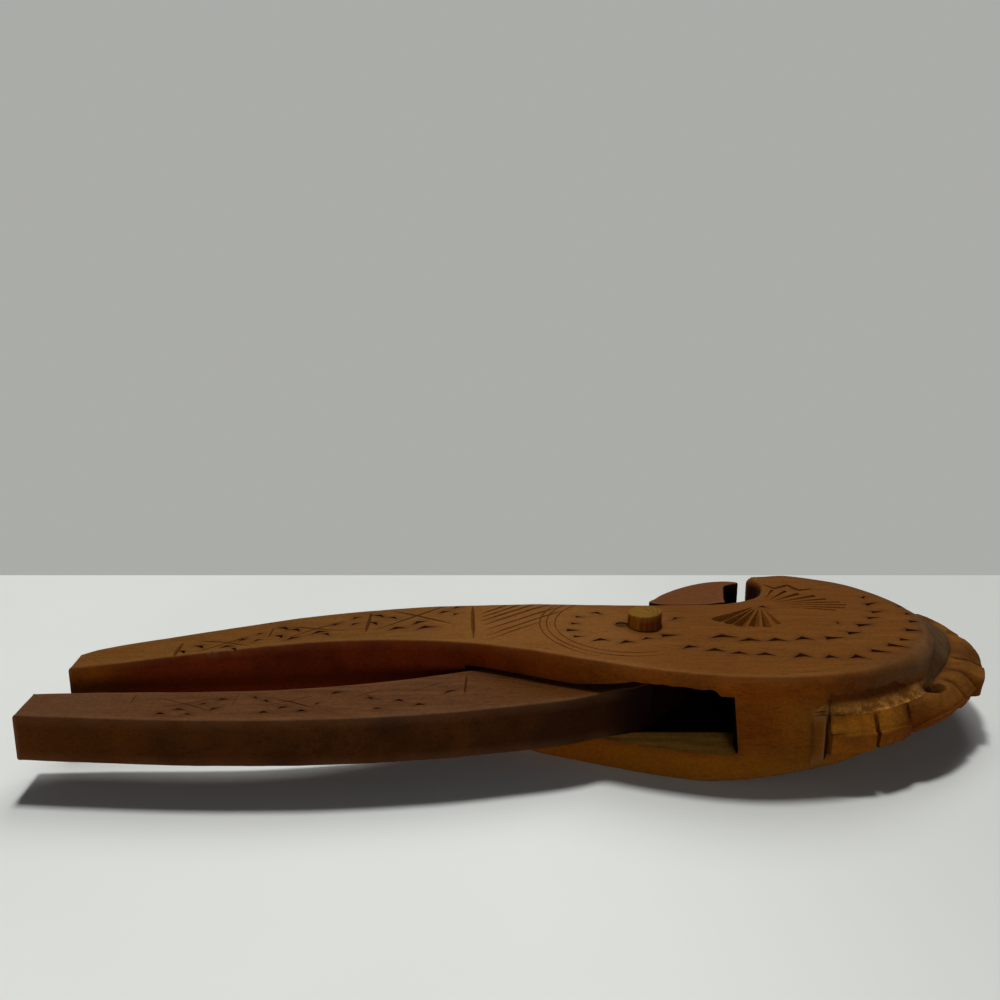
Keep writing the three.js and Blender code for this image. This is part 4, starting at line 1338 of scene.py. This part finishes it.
def body_wood(colours, head_centre):
    f = Finish("orange_brown_wood")
    place = f.place()
    from_head = f.mapped(place, shift=tuple(-PEG_PLACE - (*head_centre, 0)))
    fibres, pores, bands, specks, patches = grain(f, place)
    rasped = f.noise(place, 520.0, 3.0, 0.7)
    streaks, mottled = fibres.between(0.32, 0.68), patches.between(0.3, 0.7)
    x, y, z = (f.axis(place, number) for number in range(3))
    head_x, head_y = (f.axis(from_head, number) for number in range(2))
    lobe, cove, hollow = (f.part(code) for code in (LOBED, COVED, HOLLOWED))
    on_top = f.facing(2).between(0.55, 0.9)

    # The rubbed top, faded along the handle
    top = f.mix(streaks, *shades(colours.body, 0.88, 1.12))
    faded = f.mix(x.between(-0.045, -0.010) * 0.8, f.mix(streaks, *FADED_TOP), FADED_NECK)
    top = f.mix(x.between(0.012, 0.045), faded, top)
    top = f.mix(bands.between(0.40, 0.66) * 0.25, top, shade(colours.body_wall, 0.95))

    # The walls: rasped near the crest, painted shade under the head's ridge, and along the handle a
    # red near side lifted with painted light
    wall = f.mix(patches.between(0.32, 0.68), *shades(colours.body_wall, 0.70, 1.20))
    wall = f.mix(fibres.between(0.4, 0.7) * 0.4, wall, shade(colours.body_wall, 1.5))
    wall = f.mix((1 - z.between(0.003, 0.014)) * 0.6, wall, WALL_FOOT)
    near_crest = (head_x.between(-0.022, 0.0) * (1 - z.between(0.020, 0.027))).clamped()
    rasp_marks = near_crest * patches.between(0.35, 0.6) * 0.6
    wall = f.mix(rasp_marks, wall, shade(colours.rasped, 0.5))
    # Painted shade on the wall under the head's ridge
    ridge_shade = head_x.between(-0.008, 0.004) * z.between(0.017, 0.022)
    ridge_shade = ridge_shade * (1 - head_x.between(0.022, 0.030))
    wall = f.mix(ridge_shade * 0.8, wall, f.mix(mottled, *SHADED_WALL))
    near_side = 1 - f.facing(1).between(-0.3, 0.1)
    on_handle = (1 - x.between(-0.030, 0.030)) * x.between(-0.122, -0.106) * near_side
    # Painted light: the red near side is lifted, and more at its foot where the lever shades it
    red = f.mix(patches.between(0.25, 0.75), *RED_WALL_WITH_PAINTED_LIGHT)
    red = f.mix(z.between(0.010, 0.023), RED_WALL_FOOT_PAINTED_LIGHT, red)
    bald = f.noise(place, 14.0, 2.0, 0.5).between(0.62, 0.8)
    wall = f.mix(on_handle * (1 - bald), wall, red)
    colour = f.mix(on_top, wall, top)

    # The soft shoulder beside the hanging hole, greyed where the finish is rubbed off and by a
    # painted sheen
    middle = f.node("ShaderNodeCombineXYZ", None, {"X": head_x, "Y": head_y})
    from_middle = f.node("ShaderNodeVectorMath", {"operation": "LENGTH"}, {0: middle}, "Value")
    shoulder = f.mix(mottled, *SHOULDER_WEAR_AND_SHEEN)
    band = from_middle.between(0.0305, 0.0360) * z.between(0.022, 0.026)
    colour = f.mix(band * head_x.between(0.002, 0.018) * 0.8, colour, SHOULDER_START)
    colour = f.mix(band * head_x.between(0.018, 0.030) * 0.8, colour, shoulder)

    # The lobes: tops over sides in painted shade, the near lobes' tops lifted with painted light,
    # the far ones darker at their foot
    patchy = patches.between(0.30, 0.62)
    leaf = f.mix(head_x.between(0.010, 0.024), f.mix(patchy, *NEAR_LEAF_PAINTED_LIGHT), f.mix(patchy, *FAR_LEAF))
    far = head_x.between(0.015, 0.021)
    leaf_top = z.between(0.0144, 0.0156) * (1 - far) + f.facing(2).between(0.15, 0.60) * far
    leaf = f.mix(leaf_top, f.mix(patchy, *LEAF_SIDE_PAINTED_SHADE), leaf)
    outer_foot = head_x.between(0.012, 0.020) * (1 - z.between(0.0150, 0.0172))
    leaf = f.mix(outer_foot * 0.8, leaf, LEAF_FOOT)
    colour = f.mix(lobe, colour, leaf)

    # The cove: pale rasped wood lifted with painted light at its foot, painted shade up under the
    # ridge, and the panel where it starts
    cove_foot_painted_light = f.mix((patches * 0.5 + rasped * 0.5).between(0.40, 0.60), *COVE_FOOT_PAINTED_LIGHT)
    cove_foot_painted_light = f.mix((1 - head_x.between(-0.004, 0.010)) * 0.6, cove_foot_painted_light, COVE_START)
    ragged_height = (z + rasped * 0.002).between(0.0215, 0.0243)
    rough = f.mix(ragged_height, cove_foot_painted_light, f.mix(mottled, *SHADED_WALL))
    rough = f.mix(head_x.between(0.022, 0.030), rough, shoulder)
    colour = f.mix(cove, colour, rough)
    panel = near_crest * (1 - head_x.between(-0.0035, -0.0022)) * (1 - on_top)
    colour = f.mix(panel * 0.5, colour, shade(colours.rasped, 0.42))

    # Inside the mortise and the bores: painted shade, painted light on the floor's strip by the
    # mortise's mouth, the hanging hole's dish and the old bore
    bare_with_painted_light = f.mix(fibres.between(0.3, 0.7), *shades(colours.bare_with_painted_light, 0.7, 1.15))
    painted_lit_strip = on_top * (1 - y.between(-0.0252, -0.0238)) * (1 - z.between(0.010, 0.012))
    bare_with_painted_light = f.mix(painted_lit_strip, MORTISE_PAINTED_SHADE, bare_with_painted_light)
    bare_with_painted_light = f.mix(head_x.between(0.022, 0.024) * z.between(0.006, 0.012), bare_with_painted_light, DISH_TINT)
    bare_with_painted_light = f.mix(z.between(0.027, 0.028), bare_with_painted_light, OLD_BORE_TINT)
    colour = f.mix(hollow, colour, bare_with_painted_light)

    colour = carved(f, colour, colours.dirt_and_shade, 0.72)
    colour = rubbed(f, colour, specks, pores, colours.dirt_and_shade, WORN_BODY_WITH_HIGHLIGHT)
    scratches = f.noise(f.mapped(place, (1.0, 1.0, 0.16)), 1500.0, 2.0, 0.6)
    rasp = (near_crest * (1 - on_top) + lobe + cove).clamped()
    relief = fibres * 0.30 + pores * 0.20 + specks * (0.30 + rasp * 0.6)
    relief = relief + scratches * near_crest * 0.9
    roughness = 0.46 + patches * 0.14 + pores * 0.08 + rasp * 0.18 + hollow * 0.3
    return f.wood(colour, roughness, relief, 0.45)


def lever_wood(colours):
    f = Finish("dark_handled_wood")
    place = f.place()
    fibres, pores, bands, specks, patches = grain(f, place)
    x, y = (f.axis(place, number) for number in range(2))
    on_top = f.facing(2).between(0.55, 0.9)

    # Its top is paler at the end, and redder on the tang and the nose
    top = f.mix(fibres.between(0.32, 0.68), *shades(colours.lever, 0.80, 1.22))
    top = f.mix(1 - x.between(-0.125, -0.085), top, LEVER_END)
    on_tang = x.between(-0.028, -0.004)
    top = f.mix(on_tang * bands.between(0.25, 0.58) * 0.95, top, TANG_TOP)
    top = f.mix(x.between(0.030, 0.040), top, NOSE_TOP)

    # Its walls are paler at the end, dirty in patches and in painted shade along the tang
    wall = f.mix(patches.between(0.3, 0.7), *shades(colours.lever_wall, 0.62, 1.30))
    wall = f.mix((1 - x.between(-0.132, -0.070)) * 0.55, wall, shade(colours.lever_wall, 1.7))
    dirty = f.noise(place, 20.0, 2.0, 0.5).between(0.50, 0.66)
    wall = f.mix(dirty * 0.6 * x.between(-0.110, -0.070), wall, colours.dirt_and_shade)
    wall = f.mix(x.between(-0.030, 0.005) * 0.5, wall, TANG_WALL_PAINTED_SHADE)
    colour = f.mix(on_top, wall, top)

    colour = carved(f, colour, colours.dirt_and_shade, 0.66)
    colour = rubbed(f, colour, specks, pores, colours.dirt_and_shade, WORN_LEVER_WITH_HIGHLIGHT)
    # Painted shade on the jaw's end face
    jaw_end = x.between(0.0575, 0.0590) * y.between(0.004, 0.012)
    jaw_end_shade = (jaw_end * (1 - on_top)).clamped() * 0.9
    colour = f.mix(jaw_end_shade, colour, shade(colours.dirt_and_shade, 0.7))
    # Painted shade, near black, on the lever's walls inside the slot
    slot_shade = x.between(0.0150, 0.0270) * (1 - y.between(0.004, 0.012))
    dark = (slot_shade * (1 - on_top * 0.7)).clamped() * 0.96
    colour = f.mix(dark, colour, shade(colours.dirt_and_shade, 0.3))
    relief = fibres * 0.30 + pores * 0.20 + specks * 0.35
    return f.wood(colour, 0.46 + patches * 0.14 + pores * 0.08, relief, 0.40)


def peg_wood(colours):
    f = Finish("pale_peg_wood")
    place = f.place()
    centred = f.mapped(place, shift=tuple(-PEG_PLACE))
    across = f.axis(centred, 0)
    rings = f.node("ShaderNodeTexWave", {"wave_type": "RINGS", "rings_direction": "Z"}, {
        "Vector": centred, "Scale": 240.0, "Distortion": 3.0, "Detail": 2.0, "Detail Scale": 1.5},
        output="Fac")
    fibres = f.noise(f.mapped(place, (14.0, 14.0, 1.0)), 60.0, 4.0, 0.6)
    specks = f.noise(place, 900.0, 2.0, 0.6)
    end_grain = f.mix(rings.between(0.2, 0.8), *shades(colours.peg, 0.62, 1.1))
    end_grain = f.mix(specks.between(0.52, 0.68) * 0.6, end_grain, shade(colours.dirt_and_shade, 2.0))
    end_grain = f.mix(across.between(-0.0030, 0.0040), shade(colours.peg, 1.02), end_grain)
    # Painted light on the side's left, painted shade on its right
    side = f.mix(1 - across.between(-0.0046, -0.0008), *PEG_SIDE_PAINTED_SHADE_AND_LIGHT)
    side = f.mix(fibres.between(0.38, 0.66), f.mix(0.6, side, colours.dirt_and_shade), side)
    colour = f.mix(f.facing(2).between(0.5, 0.9), side, end_grain)
    # Its rim paler: wear together with a painted highlight
    colour = f.mix(f.kept("worn") * 0.5, colour, shade(colours.peg, 1.35))
    return f.wood(colour, 0.55 + specks * 0.2, fibres * 0.6 + specks * 0.3, 0.5)


def floor_finish(colour):
    f = Finish("pale_floor")
    place = f.place()
    faint = f.noise(place, 6.0, 3.0, 0.5)
    mixed = f.mix(faint.between(0.3, 0.7), *shades(colour, 0.97, 1.02))
    # Painted shade: darker towards the right, as the light falls off
    mixed = f.mix(f.axis(place, 0).between(-0.02, 0.15), mixed, shade(colour, 0.79))
    return f.surface({"Base Color": mixed, "Roughness": 0.55, "Specular IOR Level": 0.2})


class NUTCRACKER_OT_body(bpy.types.Operator):
    """Builds the carved body with its crest, mortise, holes and chip carving"""
    bl_idname = "nutcracker.body"
    bl_label = "Carved body"

    def execute(self, context):
        settings = context.scene.nutcracker
        size, peg = settings.body, settings.peg
        piece = carved_body(settings)
        waver(piece, size.waviness, seed=1.7, flat_below=0.3 * MM)
        leaf = crest(settings)
        waver(leaf, settings.crest.waviness, coarse=6 * MM, fine=2.2 * MM, seed=4.1)
        combine(piece, leaf, "UNION")

        hole, old, hook = HANGING_HOLE, OLD_BORE, JAW_SCOOP
        hole_place = np.array(size.head_centre) + turned(hole["angle"], hole["distance"] * MM)
        narrow = tuple(part * MM for part in (hole["thin"], *hole["dish"]))
        below = -6 * MM
        for cutter in (
                mortise(settings),
                post("peg_hole", (0, 0), peg.radius + peg.seat_gap, below, size.thickness,
                     flare=0.03 * MM),
                post("hanging_hole", hole_place, hole["radius"] * MM, below, hole["top"] * MM,
                     sides=32, narrow=narrow, slant=hole["slant"] * MM, oval=hole["oval"],
                     along=hole["along"]),
                post("old_bore", scaled(old["place"], MM, MM), old["radius"] * MM,
                     old["floor"] * MM, size.thickness, sides=24),
                scoop("jaw_scoop", [part * MM for part in hook["place"]],
                      [part * MM for part in hook["reaches"]])):
            combine(piece, cutter, "DIFFERENCE")

        finish = body_wood(settings.wood, size.head_centre)
        thinning = (size.thickness - size.end_thickness) / 2

        def surface(flat):
            return size.thickness - thinning * thinned(flat, size) - 0.08 * MM

        lines = drawn_lines(BODY_LINES + ring_lines())
        carve(piece, surface, settings.carving, finish,
              [(BODY_BIRD, BODY_BIRDS + HANDLE_BIRDS), (BODY_WEDGE, BODY_WEDGES)],
              [(fan_lines(), 1.1, GOUGED), (lines, 1.0, SCRIBED)])
        mark_wear(piece, worn_reach=0.65 * MM, grimy_reach=1.0 * MM, seed=2.0)
        settle(piece, "body", "frame", finish)
        return {"FINISHED"}


class NUTCRACKER_OT_lever(bpy.types.Operator):
    """Builds the carved lever with its nose, which is the moving jaw"""
    bl_idname = "nutcracker.lever"
    bl_label = "Carved lever"

    def execute(self, context):
        settings = context.scene.nutcracker
        size, peg = settings.lever, settings.peg
        piece, surface = lever_solid(settings)
        waver(piece, size.waviness, seed=8.3)
        reach = peg.radius + peg.run_gap
        combine(piece, post("bore", (0, 0), reach, -6 * MM, 32 * MM), "DIFFERENCE")
        finish = lever_wood(settings.wood)
        widened = [(line, half * 1.3, first, last) for line, half, first, last in LEVER_LINES]
        carve(piece, surface, settings.carving, finish, [(LEVER_BIRD, LEVER_BIRDS)],
              [(drawn_lines(widened), 1.0, SCRIBED)])
        mark_wear(piece, worn_reach=0.65 * MM, grimy_reach=0.9 * MM, seed=5.0)
        settle(piece, "lever", "lever", finish)
        return {"FINISHED"}


class NUTCRACKER_OT_peg(bpy.types.Operator):
    """Builds the whittled peg that the lever turns on"""
    bl_idname = "nutcracker.peg"
    bl_label = "Peg"

    def execute(self, context):
        settings = context.scene.nutcracker
        size = settings.peg
        sides = 72
        top = settings.body.thickness + size.proud
        foot, corner = size.inset, size.corner
        small = corner / size.radius
        levels = [(0.35, foot), (0.75, foot), (1 - corner / 2 / size.radius, foot),
                  (1, foot + corner / 2)]
        levels += [(1, lerp(foot + corner, top - corner, up)) for up in np.linspace(0, 1, 22)]
        levels += [(1 - small * (1 - math.cos(t)), top - corner * (1 - math.sin(t)))
                   for t in np.linspace(0.25, 1, 4) * math.pi / 2]
        levels += [(0.72, top), (0.5, top), (0.25, top)]
        sections = []
        for share, height in levels:
            line = []
            for i in range(sides):
                flat = turned(360 * i / sides)
                facet = noise.noise(Vector((*(flat * 1.6), height / (16 * MM) + 5)))
                rough = noise.noise(Vector((*(flat * 5 * share), height / (4 * MM))))
                reach = size.radius * share * (1 - 0.035 * (facet + 0.5) * min(1.0, share))
                on_end = share < 0.9 and height > top - corner
                dip = max(0.0, 0.35 * MM * (rough + 0.3)) if on_end else 0.0
                slant = size.slant * (flat[0] * share - 1) * smooth(height, top - 6 * MM, top)
                line.append((*(flat * reach), height - dip + slant))
            sections.append(np.array(line))
        piece = as_object("peg", skin(sections))
        mark_wear(piece, worn_reach=0.7 * MM, grimy_reach=0.6 * MM, seed=3.0)
        settle(piece, "pivot_pin", "frame", peg_wood(settings.wood))
        return {"FINISHED"}


class NUTCRACKER_OT_stage(bpy.types.Operator):
    """Lays the pale floor and sets the lamps and the camera"""
    bl_idname = "nutcracker.stage"
    bl_label = "Stage"

    def execute(self, context):
        stage = context.scene.nutcracker.stage
        half, back = stage.floor_size / 2, PEG_PLACE[1] + stage.floor_back
        corners = [(-half, -half, 0), (half, -half, 0), (half, back, 0), (-half, back, 0)]
        floor = placed("floor", mesh_of("floor", corners, (), [(0, 1, 2, 3)]))
        floor.data.materials.append(floor_finish(stage.floor))

        for number, (tilt, turn, spread, strength) in enumerate(LAMPS):
            light = bpy.data.lights.new(f"lamp_{number}", "SUN")
            light.angle, light.energy = math.radians(spread), stage.lamp_power * strength
            placed(light.name, light).rotation_euler = (math.radians(tilt), 0, math.radians(turn))
        world = bpy.data.worlds.new("studio")
        world.use_nodes = True
        tree = world.node_tree
        seen = wire(tree, "ShaderNodeBackground", None, {"Color": (*stage.backdrop, 1)})
        sky = wire(tree, "ShaderNodeBackground", None, {
            "Color": (*SKY_TINT, 1), "Strength": stage.sky})
        in_view = wire(tree, "ShaderNodeLightPath", output="Is Camera Ray")
        choice = wire(tree, "ShaderNodeMixShader", None, {0: in_view, 1: sky, 2: seen})
        tree.links.new(choice, tree.nodes["World Output"].inputs["Surface"])
        context.scene.world = world

        camera = bpy.data.cameras.new("camera")
        camera.lens, camera.sensor_width, camera.clip_start = stage.lens, 36, 0.01
        eye = placed("camera", camera)
        eye.location = np.array(stage.eye) + PEG_PLACE
        eye.rotation_euler = (math.pi / 2 - stage.pitch, 0, 0)
        context.scene.camera = eye
        context.scene.view_settings.view_transform = "Standard"
        return {"FINISHED"}


class NUTCRACKER_PT_panel(bpy.types.Panel):
    """Lists the pieces of the nutcracker"""
    bl_idname = "NUTCRACKER_PT_panel"
    bl_label = "Carved nutcracker"
    bl_space_type = "VIEW_3D"
    bl_region_type = "UI"
    bl_category = "Nutcracker"

    def draw(self, context):
        for operator in OPERATORS:
            self.layout.operator(operator.bl_idname)
        settings = context.scene.nutcracker
        for group in (settings.body, settings.crest, settings.lever, settings.peg, settings.carving,
                      settings.wood, settings.stage):
            box = self.layout.box()
            for name in group.bl_rna.properties.keys():
                if name not in ("rna_type", "name"):
                    box.prop(group, name)


OPERATORS = (NUTCRACKER_OT_body, NUTCRACKER_OT_lever, NUTCRACKER_OT_peg, NUTCRACKER_OT_stage)
GROUPS = (NutcrackerBody, NutcrackerCrest, NutcrackerLever, NutcrackerPeg, NutcrackerCarving,
          NutcrackerWood, NutcrackerStage, NutcrackerSettings)
CLASSES = (*GROUPS, *OPERATORS, NUTCRACKER_PT_panel)


def register():
    for item in CLASSES:
        bpy.utils.register_class(item)
    bpy.types.Scene.nutcracker = PointerProperty(type=NutcrackerSettings)


def unregister():
    del bpy.types.Scene.nutcracker
    for item in reversed(CLASSES):
        bpy.utils.unregister_class(item)


def main():
    register()
    bpy.ops.nutcracker.stage()
    bpy.ops.nutcracker.body()
    bpy.ops.nutcracker.lever()
    bpy.ops.nutcracker.peg()


if __name__ == "__main__":
    main()
